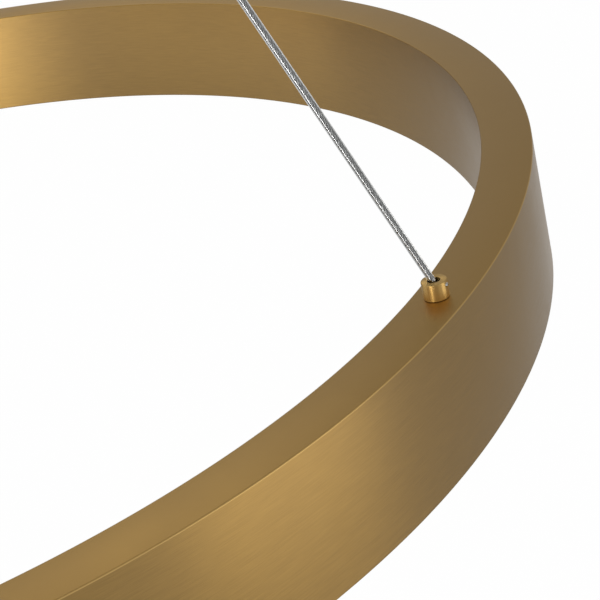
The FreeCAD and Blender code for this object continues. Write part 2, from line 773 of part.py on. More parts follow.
def make_gripper_body(i):
    guide = f"{PLUNGER_RADIUS} + guide_gap"
    outside = f"{GRIPPER_SHANK} + gripper_flange"
    cone_foot = "-cone_level - cone_length"
    outline = [
        (CHAMBER_RADIUS, "gripper_top"), (GRIPPER_SHANK, "gripper_top"), (GRIPPER_SHANK, "0"),
        (outside, "0"), (outside, "-gripper_length + gripper_chamfer"),
        (f"{outside} - gripper_chamfer", "-gripper_length"), (guide, "-gripper_length"), (guide, cone_foot),
        (CONE_END, cone_foot), (CHAMBER_RADIUS, "-cone_level"),
    ]
    x, y = around(GRIPPER_CIRCLE, AZIMUTHS[i])
    return keep(place(turned(f"gripper_body_{i}", outline), x, y, "-canopy_height"), f"gripper_body_{i}")


def make_plunger(i):
    nose = f"-{NOSE_LEVEL}"
    collar = f"{CHAMBER_RADIUS} - collar_gap"
    outline = [
        (CABLE_BORE, "-collar_level"), (collar, "-collar_level"),
        (collar, "-collar_level - collar_height"), (PLUNGER_RADIUS, "-collar_level - collar_height"),
        (PLUNGER_RADIUS, f"{nose} + plunger_chamfer"), (f"{PLUNGER_RADIUS} - plunger_chamfer", nose),
        (f"{CABLE_BORE} + plunger_flare", nose), (CABLE_BORE, f"{nose} + plunger_flare"),
    ]
    body = turned(f"plunger_{i}", outline)
    window, circle = drill(body, f"ball_window_{i}", "YZ_Plane", "0", f"-{BALL_LEVEL}",
                           "ball_radius + ball_gap", "One side", collar)
    repeat(body, window, circle, BALLS, "V_Axis")
    x, y = around(GRIPPER_CIRCLE, AZIMUTHS[i])
    return keep(place(body, x, y, "-canopy_height"), f"plunger_{i}")


def make_balls(i):
    middle_x, middle_y = around(GRIPPER_CIRCLE, AZIMUTHS[i])
    balls = []
    for n in range(BALLS):
        ball = bind(doc.addObject("Part::Sphere", f"ball_{i}"), Radius="ball_radius")
        x, y = around(BALL_TRACK, 360 / BALLS * n)
        balls.append(place(ball, f"{middle_x} + {x}", f"{middle_y} + {y}", f"-canopy_height - {BALL_LEVEL}"))
    return group(f"gripper_balls_{i}", balls)


def make_spring(i):
    """A compression spring between the plunger's collar and the gripper's cap."""
    wire = number("spring_wire")
    radius = number(f"{CHAMBER_RADIUS} - spring_wire - spring_clear")
    height = number("gripper_top - cap_height + collar_level - 2 * spring_wire - 2 * spring_gap")
    turns = number("spring_turns")
    edges, direction = helix_edges(radius, height, turns)
    shape, length = pipe(edges, FreeCAD.Vector(radius, 0, 0), direction, wire)
    turn_gap = edges[0].Vertexes[0].Point.distanceToPoint(edges[4].Vertexes[0].Point) - 2 * wire
    print(f"gripper_spring_{i}: wire length {length:.1f}, gap between turns {turn_gap:.2f}")
    spring = doc.addObject("Part::Feature", f"gripper_spring_{i}")
    spring.Shape = shape
    x, y = around(GRIPPER_CIRCLE, AZIMUTHS[i])
    place(spring, x, y, "-canopy_height - collar_level + spring_wire + spring_gap")
    return keep(spring, f"gripper_spring_{i}")


def make_gripper_fixings():
    caps, locknuts = [], []
    for i, azimuth in AZIMUTHS.items():
        x, y = around(GRIPPER_CIRCLE, azimuth)
        base = "-canopy_height + gripper_top - cap_height"
        disc = cylinder(f"cap_disc_{i}", f"{CHAMBER_RADIUS} - thread_gap", "cap_height", x, y, base)
        caps.append(cut(f"cap_{i}", disc, cylinder(f"cap_hole_{i}", CABLE_BORE, "cap_height", x, y, base)))
        block = hexagon(f"locknut_block_{i}", f"2 * ({GRIPPER_SHANK} + locknut_wall)", "locknut_height", x, y,
                        CANOPY_FLOOR, azimuth)
        bore = cylinder(f"locknut_bore_{i}", f"{GRIPPER_SHANK} + thread_gap", "locknut_height", x, y,
                        CANOPY_FLOOR)
        locknuts.append(cut(f"locknut_{i}", block, bore))
    group("gripper_caps", caps)
    group("gripper_locknuts", locknuts)


# LED driver

BOSS_X = "(driver_length / 2 - driver_wall - boss_radius)"
BOSS_Y = "(driver_width / 2 - driver_wall - boss_radius)"
CORNERS = ((1, 1), (-1, 1), (1, -1), (-1, -1))


def boss_places():
    return [(f"{a} * {BOSS_X}", f"{b} * {BOSS_Y}") for a, b in CORNERS]


def make_driver_case():
    height = f"({LID_BASE} - {DRIVER_BASE})"
    outer = box("case_outer", "driver_length", "driver_width", height, z=DRIVER_BASE)
    inner = box("case_inner", "driver_length - 2 * driver_wall", "driver_width - 2 * driver_wall", height,
                z=DRIVER_FLOOR)
    shell = cut("case_shell", outer, inner)
    posts, threads = [], []
    for x, y in boss_places():
        posts.append(cylinder("case_boss", "boss_radius", f"{height} - driver_wall - lid_lip - lid_gap", x, y,
                              DRIVER_FLOOR))
        threads.append(cylinder("case_thread", "lid_screw_radius + thread_gap", height, x, y, DRIVER_FLOOR))
    return keep(cut("case", fuse("case_blank", shell, *posts), *threads), "driver_case")


def make_driver_lid():
    plate = box("lid_plate", "driver_length", "driver_width", "lid_thickness", z=LID_BASE)
    gap = "2 * (driver_wall + lid_gap)"
    lip = box("lid_lip_block", f"driver_length - {gap}", f"driver_width - {gap}", "lid_lip",
              z=f"{LID_BASE} - lid_lip")
    holes = []
    for x, y in boss_places():
        holes.append(cylinder("lid_hole", "lid_screw_radius + screw_gap", "lid_thickness + lid_lip", x, y,
                              f"{LID_BASE} - lid_lip"))
    return keep(cut("lid", fuse("lid_blank", plate, lip), *holes), "driver_lid")


def make_driver_inside():
    board_base = f"{DRIVER_FLOOR} + board_level"
    gap = "2 * (driver_wall + board_gap)"
    notch = "boss_radius * 2 + board_gap"
    sheet_blank = box("board_blank", f"driver_length - {gap}", f"driver_width - {gap}", "board_thickness",
                      z=board_base)
    notches = [box("board_notch", f"2 * ({notch})", f"2 * ({notch})", "board_thickness",
                   f"{a} * (driver_length / 2 - driver_wall)", f"{b} * (driver_width / 2 - driver_wall)",
                   board_base)
               for a, b in CORNERS]
    feet = [cylinder("board_foot", "boss_radius", "board_level", f"{side} * driver_length / 4",
                     z=DRIVER_FLOOR)
            for side in (1, -1)]
    board = cut("board_plate", sheet_blank, *notches)
    keep(fuse("board", board, *feet), "driver_board")
    keep(box("transformer", "transformer_length", "transformer_width", "transformer_height", z=BOARD_TOP),
         "driver_transformer")
    cans = [cylinder("capacitor", "capacitor_radius", "transformer_height - capacitor_drop",
                     f"{side} * (transformer_length / 2 + capacitor_radius * 2)", z=BOARD_TOP)
            for side in (1, -1)]
    group("driver_capacitors", cans)


def make_driver_screws():
    screws = []
    for x, y in boss_places():
        head = cylinder("lid_head", "lid_head_radius", "lid_head_height", x, y, DRIVER_TOP)
        depth = "lid_thickness + lid_lip * 3"
        shank = cylinder("lid_shank", "lid_screw_radius", depth, x, y, f"{DRIVER_TOP} - ({depth})")
        screws.append(fuse("lid_screw", head, shank))
    return group("driver_lid_screws", screws)


def make_outputs():
    posts = [cylinder(f"output_{i}", "output_radius", "output_height", *OUTPUTS[i], DRIVER_TOP) for i in FED]
    return group("driver_output_terminals", posts)


def make_mounting_pads():
    pads = [box("driver_pad", "driver_length / 4", "driver_width / 2", "mount_pad",
                f"{side} * driver_length / 4", z=CANOPY_FLOOR) for side in (1, -1)]
    pads.append(box("block_pad", "block_length / 2", "block_width / 2", "mount_pad", y="-block_offset",
                    z=CANOPY_FLOOR))
    return group("mounting_pads", pads)


# mains terminal block, its screws, the leads and the earth screw

POLES = (-1, 0, 1)
WIRE_LEVEL = f"({DRIVER_BASE} + block_height - pole_screw_length - wire_radius - wire_drop)"


def make_terminal_block():
    blank = box("block_blank", "block_length", "block_width", "block_height", y="-block_offset",
                z=DRIVER_BASE)
    tools = []
    for pole in POLES:
        x = f"{pole} * pole_spacing"
        for side in (1, -1):
            y = f"-block_offset + {side} * pole_screw_spacing / 2"
            tools.append(cylinder("pole_well", "pole_screw_radius + pole_hole_gap", "pole_screw_length", x, y,
                                  f"{DRIVER_BASE} + block_height - pole_screw_length"))
            face = f"-block_offset + {side} * (block_width / 2 - wire_hole_depth)"
            tools.append(cylinder("wire_hole", "wire_radius + pole_hole_gap", "wire_hole_depth", x, face,
                                  WIRE_LEVEL, -90 * side, X_AXIS))
    return keep(cut("block", blank, *tools), "terminal_block")


def make_terminal_screws():
    screws = []
    for pole in POLES:
        for side in (1, -1):
            x, y = f"{pole} * pole_spacing", f"-block_offset + {side} * pole_screw_spacing / 2"
            base = f"{DRIVER_BASE} + block_height - pole_screw_length"
            pin = cylinder("pole_screw", "pole_screw_radius", "pole_screw_length - flush_gap", x, y, base)
            slot = box("pole_slot", "pole_screw_radius * 2", "pole_slot_width", "pole_slot_depth", x, y,
                       f"{base} + pole_screw_length - flush_gap - pole_slot_depth")
            screws.append(cut("pole_screw_cut", pin, slot))
    return group("terminal_screws", screws)


def make_mains_leads():
    level = number(WIRE_LEVEL)
    start = number("-block_offset + block_width / 2 - wire_hole_depth")
    end = number("-driver_width / 2")
    leads = []
    for pole in (-1, 1):
        x = pole * number("pole_spacing")
        foot = FreeCAD.Vector(x, start, level)
        leads.append(Part.makeCylinder(number("wire_radius"), end - start, foot, Y_AXIS))
    thing = doc.addObject("Part::Feature", "mains_leads")
    thing.Shape = Part.makeCompound(leads)
    return keep(thing, "mains_leads")


def make_earth():
    """The earth screw in the bracket, and its lead from a ring terminal to the block's middle pole."""
    x = "-earth_offset"
    under = "-strap_thickness - earth_terminal_thickness"
    head = cylinder("earth_head", "earth_head_radius", "earth_head_height", x,
                    z=f"{under} - earth_head_height")
    shank = cylinder("earth_shank", "earth_radius", "strap_thickness + earth_terminal_thickness - flush_gap",
                     x, z=under)
    keep(fuse("earth", head, shank), "earth_screw")
    ring = Part.makeCylinder(number("earth_terminal_radius"), number("earth_terminal_thickness"),
                             FreeCAD.Vector(number(x), 0, number(under)))
    tongue_width = number("wire_radius * 3")
    tongue_length = number("strap_width / 2")
    tongue = Part.makeBox(tongue_width, tongue_length, number("earth_terminal_thickness"),
                          FreeCAD.Vector(number(x) - tongue_width / 2, -tongue_length, number(under)))
    bore = Part.makeCylinder(number("earth_radius + shank_gap"), number("earth_terminal_thickness"),
                             FreeCAD.Vector(number(x), 0, number(under)))
    start = FreeCAD.Vector(number(x), -tongue_length + tongue_width / 2, number(under))
    block_face = number("-block_offset + block_width / 2")
    level = number(WIRE_LEVEL)
    reach = number("wire_hole_depth")
    crest = number(f"{DRIVER_TOP} + output_height")
    edge = number("-driver_width / 2 - wire_radius * 6")
    route = [start, FreeCAD.Vector(start.x, start.y, crest), FreeCAD.Vector(start.x / 2, edge, crest),
             FreeCAD.Vector(0, edge, level), FreeCAD.Vector(0, block_face - reach, level)]
    bend = number("wire_radius * 3")
    wire, length, radii = tube_shape(route, [bend] * 3, number("wire_radius"))
    print(f"earth_lead: length {length:.1f}, bend radii {radii}")
    thing = doc.addObject("Part::Feature", "earth_lead")
    thing.Shape = ring.fuse(tongue).cut(bore).fuse(wire).removeSplitter()
    return keep(thing, "earth_lead")


# build, check and write

def check_and_write():
    doc.recompute()
    faults = [thing.Name for thing in doc.Objects if {"Invalid", "Error"} & set(thing.State)]
    for thing in nodes:
        if thing.Shape.isNull() or not thing.Shape.isValid() or not thing.Shape.Solids:
            faults.append(thing.Label)
    if faults:
        raise RuntimeError(f"these objects failed: {faults}")
    os.makedirs("parts", exist_ok=True)
    for thing in nodes:
        thing.Shape.exportStep(f"parts/{thing.Label}.step")
    print(f"{len(nodes)} sub-parts written")


make_ring_profile()
make_carrier()
make_strip()
make_chips()
make_solder_pads()
make_diffuser()
for cable in AZIMUTHS:
    make_ferrule(cable)
    make_gripper_body(cable)
    make_plunger(cable)
    make_balls(cable)
    make_spring(cable)
make_ferrule_fixings()
make_cables()
make_tails()
make_ring_leads()
make_canopy_cup()
make_bracket()
make_side_screws()
make_gripper_fixings()
make_driver_case()
make_driver_lid()
make_driver_inside()
make_driver_screws()
make_outputs()
make_mounting_pads()
make_terminal_block()
make_terminal_screws()
make_mains_leads()
make_earth()
check_and_write()
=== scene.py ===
import math

import bmesh
import bpy
from mathutils import Matrix, Vector


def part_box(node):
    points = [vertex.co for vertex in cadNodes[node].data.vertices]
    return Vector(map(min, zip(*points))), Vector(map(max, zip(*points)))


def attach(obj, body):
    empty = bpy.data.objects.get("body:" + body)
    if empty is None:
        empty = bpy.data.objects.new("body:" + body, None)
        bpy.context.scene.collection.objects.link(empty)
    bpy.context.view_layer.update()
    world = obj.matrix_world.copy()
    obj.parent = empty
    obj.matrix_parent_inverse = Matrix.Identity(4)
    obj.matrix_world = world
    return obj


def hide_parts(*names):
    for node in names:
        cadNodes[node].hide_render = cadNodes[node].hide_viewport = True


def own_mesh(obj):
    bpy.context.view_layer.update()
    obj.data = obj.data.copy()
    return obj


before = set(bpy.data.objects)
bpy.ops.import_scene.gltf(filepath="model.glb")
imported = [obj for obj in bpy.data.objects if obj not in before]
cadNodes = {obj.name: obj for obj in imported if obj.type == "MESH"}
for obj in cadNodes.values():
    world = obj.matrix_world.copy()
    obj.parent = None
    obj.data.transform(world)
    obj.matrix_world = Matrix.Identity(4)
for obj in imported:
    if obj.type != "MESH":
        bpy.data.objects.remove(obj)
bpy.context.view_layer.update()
scene = bpy.context.scene
scene.view_settings.view_transform = "Standard"

# metres and degrees; the ceiling is z = 0 and the lamp's axis is x = y = 0
azimuths = {1: 330, 2: 90, 3: 210}  # the three cables, the first one is in front
onCables = {"copies": 3, "azimuth": azimuths[1]}  # one piece for each cable
crispAngles = {"turned": 32, "strands": 50}  # sharper edges stay crisp
weldDistance = 1e-6
drillSteps = 64
lineSteps = 24  # between two points of a cord's route


# node trees

def isSocket(value):
    return isinstance(value, bpy.types.NodeSocket)


def feed(tree, node, feeds):
    for key, value in feeds.items():
        if isSocket(value):
            tree.links.new(value, node.inputs[key])
        else:
            node.inputs[key].default_value = value


def addNode(tree, kind, feeds=None, **settings):
    node = tree.nodes.new(kind)
    node.location = (180 * len(tree.nodes), 0)
    for name, value in settings.items():
        setattr(node, name, value)
    feed(tree, node, feeds or {})
    return node


def result(tree, kind, feeds=None, **settings):
    return addNode(tree, kind, feeds, **settings).outputs[0]


def geo(tree, kind, feeds=None, **settings):
    return result(tree, "GeometryNode" + kind, feeds, **settings)


def calc(tree, operation, *feeds):
    return result(tree, "ShaderNodeMath", dict(enumerate(feeds)), operation=operation)


def vectorCalc(tree, operation, *feeds, output="Vector"):
    node = addNode(tree, "ShaderNodeVectorMath", dict(enumerate(feeds)), operation=operation)
    return node.outputs[output]


def scaled(tree, vector, factor):
    return result(tree, "ShaderNodeVectorMath", {0: vector, "Scale": factor}, operation="SCALE")


def fade(tree, value, start, end):
    # 0 up to the start, 1 from the end
    return result(tree, "ShaderNodeMapRange", {"Value": value, "From Min": start, "From Max": end})


def spread(tree, value, low, high):
    return result(tree, "ShaderNodeMapRange", {"Value": value, "To Min": low, "To Max": high})


def newGroup(name, kind, inputs, outputs):
    tree = bpy.data.node_groups.new(name, kind)
    for side, sockets in (("INPUT", inputs), ("OUTPUT", outputs)):
        for label, socket in sockets.items():
            tree.interface.new_socket(label, in_out=side, socket_type="NodeSocket" + socket)
    return tree, tree.nodes.new("NodeGroupInput").outputs


def endGroup(tree, feeds):
    addNode(tree, "NodeGroupOutput", feeds)
    return tree


def position(tree):
    return geo(tree, "InputPosition")


def circleCurve(tree, steps, radius):
    feeds = {"Resolution": steps, "Radius": radius}
    return geo(tree, "CurvePrimitiveCircle", feeds, mode="RADIUS")


def mark(tree, geometry, name, value, kind="FLOAT"):
    feeds = {"Geometry": geometry, "Name": name, "Value": value}
    return geo(tree, "StoreNamedAttribute", feeds, data_type=kind, domain="POINT")


def smoothByAngle(tree, mesh, degrees):
    # round faces shade smooth, edges sharper than the angle stay crisp
    smooth = geo(tree, "SetShadeSmooth", {"Geometry": mesh}, domain="FACE")
    feeds = {0: geo(tree, "InputMeshEdgeAngle"), 1: math.radians(degrees)}
    sharp = result(tree, "FunctionNodeCompare", feeds, operation="GREATER_THAN")
    feeds = {"Geometry": smooth, "Selection": sharp, "Shade Smooth": False}
    return geo(tree, "SetShadeSmooth", feeds, domain="EDGE")


def finishTree(tree, geometry, material):
    real = geo(tree, "RealizeInstances", {"Geometry": geometry})
    dressed = geo(tree, "SetMaterial", {"Geometry": real, "Material": material})
    return endGroup(tree, {"Geometry": dressed})


# turned pieces: a closed outline swept round an axis, and the whole repeated on a circle
def buildTurnedTree():
    inputs = {"Geometry": "Geometry", "Path Radius": "Float", "Path Steps": "Int", "Copies": "Int",
              "Copy Circle": "Float", "Copy Level": "Float", "First Azimuth": "Float", "Tilt": "Float",
              "Material": "Material"}
    tree, given = newGroup("turnedRound", "GeometryNodeTree", inputs, {"Geometry": "Geometry"})
    outline = geo(tree, "MeshToCurve", {"Mesh": given["Geometry"]})
    path = circleCurve(tree, given["Path Steps"], given["Path Radius"])
    swept = geo(tree, "CurveToMesh", {"Curve": path, "Profile Curve": outline})
    welded = geo(tree, "MergeByDistance", {"Geometry": swept, "Distance": weldDistance})
    smooth = smoothByAngle(tree, welded, crispAngles["turned"])
    marked = mark(tree, smooth, "lathe", position(tree), "FLOAT_VECTOR")
    turn = calc(tree, "DIVIDE", math.tau, given["Copies"])
    index = geo(tree, "InputIndex")
    angle = calc(tree, "MULTIPLY_ADD", index, turn, given["First Azimuth"])
    x = calc(tree, "MULTIPLY", calc(tree, "COSINE", angle), given["Copy Circle"])
    y = calc(tree, "MULTIPLY", calc(tree, "SINE", angle), given["Copy Circle"])
    spot = result(tree, "ShaderNodeCombineXYZ", {"X": x, "Y": y, "Z": given["Copy Level"]})
    points = geo(tree, "Points", {"Count": given["Copies"], "Position": spot})
    euler = result(tree, "ShaderNodeCombineXYZ", {"Y": given["Tilt"], "Z": angle})
    facing = result(tree, "FunctionNodeEulerToRotation", {"Euler": euler})
    feeds = {"Points": points, "Instance": marked, "Rotation": facing}
    return finishTree(tree, geo(tree, "InstanceOnPoints", feeds), given["Material"])


# strands laid round a line; one strand with no lay is a plain tube
def buildStrandTree():
    inputs = {"Geometry": "Geometry", "Strands": "Int", "Strand Radius": "Float", "Lay Radius": "Float",
              "Lay Length": "Float", "Step": "Float", "Sides": "Int", "Seed": "Int", "Material": "Material"}
    tree, given = newGroup("laidStrands", "GeometryNodeTree", inputs, {"Geometry": "Geometry"})
    line = geo(tree, "MeshToCurve", {"Mesh": given["Geometry"]})
    feeds = {"Curve": line, "Length": given["Step"]}
    even = geo(tree, "ResampleCurve", feeds, mode="LENGTH")
    feeds = {"Geometry": even, "Amount": given["Strands"]}
    copies = addNode(tree, "GeometryNodeDuplicateElements", feeds, domain="SPLINE").outputs
    strand = copies["Duplicate Index"]
    along = addNode(tree, "GeometryNodeSplineParameter").outputs["Length"]
    turns = calc(tree, "ADD", calc(tree, "DIVIDE", along, given["Lay Length"]),
                 calc(tree, "DIVIDE", strand, given["Strands"]))
    angle = calc(tree, "MULTIPLY", turns, math.tau)
    normal = geo(tree, "InputNormal")
    side = vectorCalc(tree, "CROSS_PRODUCT", geo(tree, "InputTangent"), normal)
    outward = scaled(tree, normal, calc(tree, "COSINE", angle))
    sideways = scaled(tree, side, calc(tree, "SINE", angle))
    lay = scaled(tree, vectorCalc(tree, "ADD", outward, sideways), given["Lay Radius"])
    centred = mark(tree, copies["Geometry"], "heart", position(tree), "FLOAT_VECTOR")
    laid = geo(tree, "SetPosition", {"Geometry": centred, "Offset": lay})
    feeds = {"ID": strand, "Seed": given["Seed"]}
    tone = addNode(tree, "FunctionNodeRandomValue", feeds, data_type="FLOAT").outputs[1]
    measured = mark(tree, mark(tree, laid, "strandTone", tone), "along", along)
    across = result(tree, "ShaderNodeSeparateXYZ", {"Vector": position(tree)})
    section = mark(tree, circleCurve(tree, given["Sides"], given["Strand Radius"]), "around",
                   calc(tree, "DIVIDE", across, given["Strand Radius"]))
    feeds = {"Curve": measured, "Profile Curve": section, "Fill Caps": True}
    tubes = geo(tree, "CurveToMesh", feeds)
    # how far a point lies from its strand's middle; the strand material paints highlight and shade from it
    heart = geo(tree, "InputNamedAttribute", {"Name": "heart"}, data_type="FLOAT_VECTOR")
    reach = vectorCalc(tree, "DISTANCE", position(tree), heart, output="Value")
    bulge = calc(tree, "DIVIDE", reach, calc(tree, "ADD", given["Lay Radius"], given["Strand Radius"]))
    marked = mark(tree, smoothByAngle(tree, tubes, crispAngles["strands"]), "bulge", bulge)
    clean = geo(tree, "RemoveAttribute", {"Geometry": marked, "Name": "heart"})
    return finishTree(tree, clean, given["Material"])


turnedTree = buildTurnedTree()
strandTree = buildStrandTree()
print("geometry trees built")


# pieces

def polar(radius, azimuth, level):
    angle = math.radians(azimuth)
    return Vector((radius * math.cos(angle), radius * math.sin(angle), level))


def lineMesh(name, points, closed):
    mesh = bpy.data.meshes.new(name)
    edges = [(i, i + 1) for i in range(len(points) - 1)]
    if closed:
        edges.append((len(points) - 1, 0))
    mesh.from_pydata([tuple(point) for point in points], edges, [])
    return mesh


def addObject(name, data):
    holder = bpy.data.objects.new(name, data)
    scene.collection.objects.link(holder)
    return holder


def evaluatedMesh(holder):
    return bpy.data.meshes.new_from_object(holder.evaluated_get(bpy.context.evaluated_depsgraph_get()))


def openShell(mesh, weld=False):
    shell = bmesh.new()
    shell.from_mesh(mesh)
    if weld:
        bmesh.ops.remove_doubles(shell, verts=shell.verts, dist=weldDistance)
    bmesh.ops.recalc_face_normals(shell, faces=shell.faces)
    return shell


def closeShell(shell, mesh):
    shell.to_mesh(mesh)
    shell.free()
    return mesh


def growPiece(name, line, tree, sizes):
    piece = addObject(name, line)
    grower = piece.modifiers.new("grower", "NODES")
    grower.node_group = tree
    for item in tree.interface.items_tree:
        if item.in_out == "INPUT" and item.name in sizes:
            grower[item.identifier] = sizes[item.name]
    grown = evaluatedMesh(piece)
    grown.name = name
    piece.modifiers.remove(grower)
    piece.data = closeShell(openShell(grown), grown)
    return piece


def turnPiece(name, outline, material, steps, copies=1, circle=0.0, azimuth=0.0, level=0.0, tilt=0.0):
    middle = sum(radius for radius, height in outline) / len(outline)
    line = lineMesh(name, [(radius - middle, -height, 0) for radius, height in outline], closed=True)
    sizes = {"Path Radius": middle, "Path Steps": steps, "Copies": copies, "Copy Circle": circle,
             "First Azimuth": math.radians(azimuth), "Copy Level": level, "Tilt": math.radians(tilt),
             "Material": material}
    return growPiece(name, line, turnedTree, sizes)


def layStrands(name, line, radius, step, sides, finish, count=1, layRadius=0.0, layLength=1.0, seed=0):
    sizes = {"Strands": count, "Strand Radius": radius, "Lay Radius": layRadius, "Lay Length": layLength,
             "Step": step, "Sides": sides, "Seed": seed, "Material": finish}
    return growPiece(name, lineMesh("line", line, closed=False), strandTree, sizes)


def handOver(piece, body, slot, *nodes):
    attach(piece, body)
    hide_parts(*nodes)
    return piece


def roundCorner(radius, level, size, inward, upright, steps=5):
    # a quarter round for an outline's corner, ending on its upright or its flat side
    x, z = radius + inward[0] * size, level + inward[1] * size
    flat = math.atan2(-inward[1], 0)
    wall = math.atan2(0, -inward[0])
    start, end = (flat, wall) if upright else (wall, flat)
    sweep = (end - start + math.pi) % math.tau - math.pi
    angles = [start + sweep * i / steps for i in range(steps + 1)]
    return [(x + size * math.cos(angle), z + size * math.sin(angle)) for angle in angles]


def drillBit(radius, low, high, material, **places):
    outline = [(0.0, low), (radius, low), (radius, high), (0.0, high)]
    return turnPiece("drillBit", outline, material, drillSteps, **places)


def drillHoles(piece, *bits):
    # bores the bits' holes, and the bits are gone after that
    for bit in bits:
        cutter = piece.modifiers.new("drill", "BOOLEAN")
        cutter.operation = "DIFFERENCE"
        cutter.solver = "EXACT"
        cutter.object = bit
    drilled = evaluatedMesh(piece)
    drilled.name = piece.name
    piece.modifiers.clear()
    piece.data = drilled
    for bit in bits:
        bpy.data.objects.remove(bit)
    shell = openShell(drilled, weld=True)
    lathe = shell.verts.layers.float_vector["lathe"]
    for vertex in shell.verts:
        vertex[lathe] = vertex.co
    for edge in shell.edges:
        edge.smooth = edge.calc_face_angle(0.0) < math.radians(crispAngles["turned"])
    closeShell(shell, drilled)


# finishes

brushing = {"detail": 3.0, "grit": 0.6, "band": (0.3, 0.7), "dulls": 0.6}  # dulls: share in the roughness
drifting = {"detail": 2.0, "band": (0.3, 0.7), "finer": 7.0, "smudgeDetail": 4.0, "smudgeCurl": 0.6,
            "smudgeBand": (0.35, 0.75)}
graining = {"detail": 3.0, "pitBand": (0.12, 0.3)}
lacquerRoughness = 0.45


def linear(red, green, blue):
    # a colour as it looks on a screen, 0 to 255
    def curve(value):
        value /= 255
        return value / 12.92 if value <= 0.04045 else ((value + 0.055) / 1.055) ** 2.4
    return (curve(red), curve(green), curve(blue), 1.0)


def noise(tree, place, scale, detail, **more):
    return result(tree, "ShaderNodeTexNoise", {"Vector": place, "Scale": scale, "Detail": detail, **more})


def axisReach(tree, place):
    flat = vectorCalc(tree, "MULTIPLY", place, (1, 1, 0))
    return vectorCalc(tree, "LENGTH", flat, output="Value")


def buildBrushLines():
    # hairlines round an upright axis, on walls and flat faces alike
    inputs = {"Place": "Vector", "Across": "Float", "Along": "Float"}
    tree, given = newGroup("brushLines", "ShaderNodeTree", inputs, {"Lines": "Float"})
    split = addNode(tree, "ShaderNodeSeparateXYZ", {"Vector": given["Place"]}).outputs
    across = calc(tree, "ADD", axisReach(tree, given["Place"]), split["Z"])
    feeds = {"X": calc(tree, "MULTIPLY", split["X"], given["Along"]),
             "Y": calc(tree, "MULTIPLY", split["Y"], given["Along"]),
             "Z": calc(tree, "MULTIPLY", across, given["Across"])}
    stretched = result(tree, "ShaderNodeCombineXYZ", feeds)
    lines = noise(tree, stretched, 1.0, brushing["detail"], Roughness=brushing["grit"])
    return endGroup(tree, {"Lines": fade(tree, lines, *brushing["band"])})


def buildSlowDrift():
    # tone that wanders over a surface, and finer smudges
    tree, given = newGroup("slowDrift", "ShaderNodeTree", {"Place": "Vector", "Scale": "Float"},
                           {"Drift": "Float", "Smudge": "Float"})
    drift = noise(tree, given["Place"], given["Scale"], drifting["detail"])
    finer = calc(tree, "MULTIPLY", given["Scale"], drifting["finer"])
    smudge = noise(tree, given["Place"], finer, drifting["smudgeDetail"], Distortion=drifting["smudgeCurl"])
    return endGroup(tree, {"Drift": fade(tree, drift, *drifting["band"]),
                           "Smudge": fade(tree, smudge, *drifting["smudgeBand"])})


def buildFineGrain():
    # moulded skin, cast grain and the like
    tree, given = newGroup("fineGrain", "ShaderNodeTree", {"Place": "Vector", "Scale": "Float"},
                           {"Grain": "Float", "Pits": "Float"})
    cells = result(tree, "ShaderNodeTexVoronoi", {"Vector": given["Place"], "Scale": given["Scale"]})
    return endGroup(tree, {"Grain": noise(tree, given["Place"], given["Scale"], graining["detail"]),
                           "Pits": fade(tree, cells, *graining["pitBand"])})


brushLines = buildBrushLines()
slowDrift = buildSlowDrift()
fineGrain = buildFineGrain()


def newMaterial(name):
    material = bpy.data.materials.new(name)
    material.use_nodes = True
    tree = material.node_tree
    return material, tree, tree.nodes["Principled BSDF"]


def objectPlace(tree):
    return addNode(tree, "ShaderNodeTexCoord").outputs["Object"]


def attribute(tree, name, output="Fac"):
    return addNode(tree, "ShaderNodeAttribute", attribute_name=name).outputs[output]


def wanderOver(tree, scale):
    feeds = {"Place": objectPlace(tree), "Scale": scale}
    return addNode(tree, "ShaderNodeGroup", feeds, node_tree=slowDrift).outputs


def blendColour(tree, factor, *shades):
    first, second = [shade if isSocket(shade) else linear(*shade) for shade in shades]
    feeds = {"Factor": factor, 6: first, 7: second}  # 6, 7 and 2 are the colour sockets
    return addNode(tree, "ShaderNodeMix", feeds, data_type="RGBA").outputs[2]


def weigh(tree, first, share, second):
    return calc(tree, "MULTIPLY_ADD", first, share, calc(tree, "MULTIPLY", second, 1 - share))


def dress(tree, shader, look, tone, dullness, height):
    # colour, roughness and relief of a surface
    colour = blendColour(tree, tone, look["deep"], look["light"])
    feeds = {"Height": height, "Strength": look["relief"], "Distance": look["depth"]}
    feed(tree, shader, {"Base Color": colour, "Roughness": spread(tree, dullness, *look["roughness"]),
                        "Normal": result(tree, "ShaderNodeBump", feeds)})
    return colour


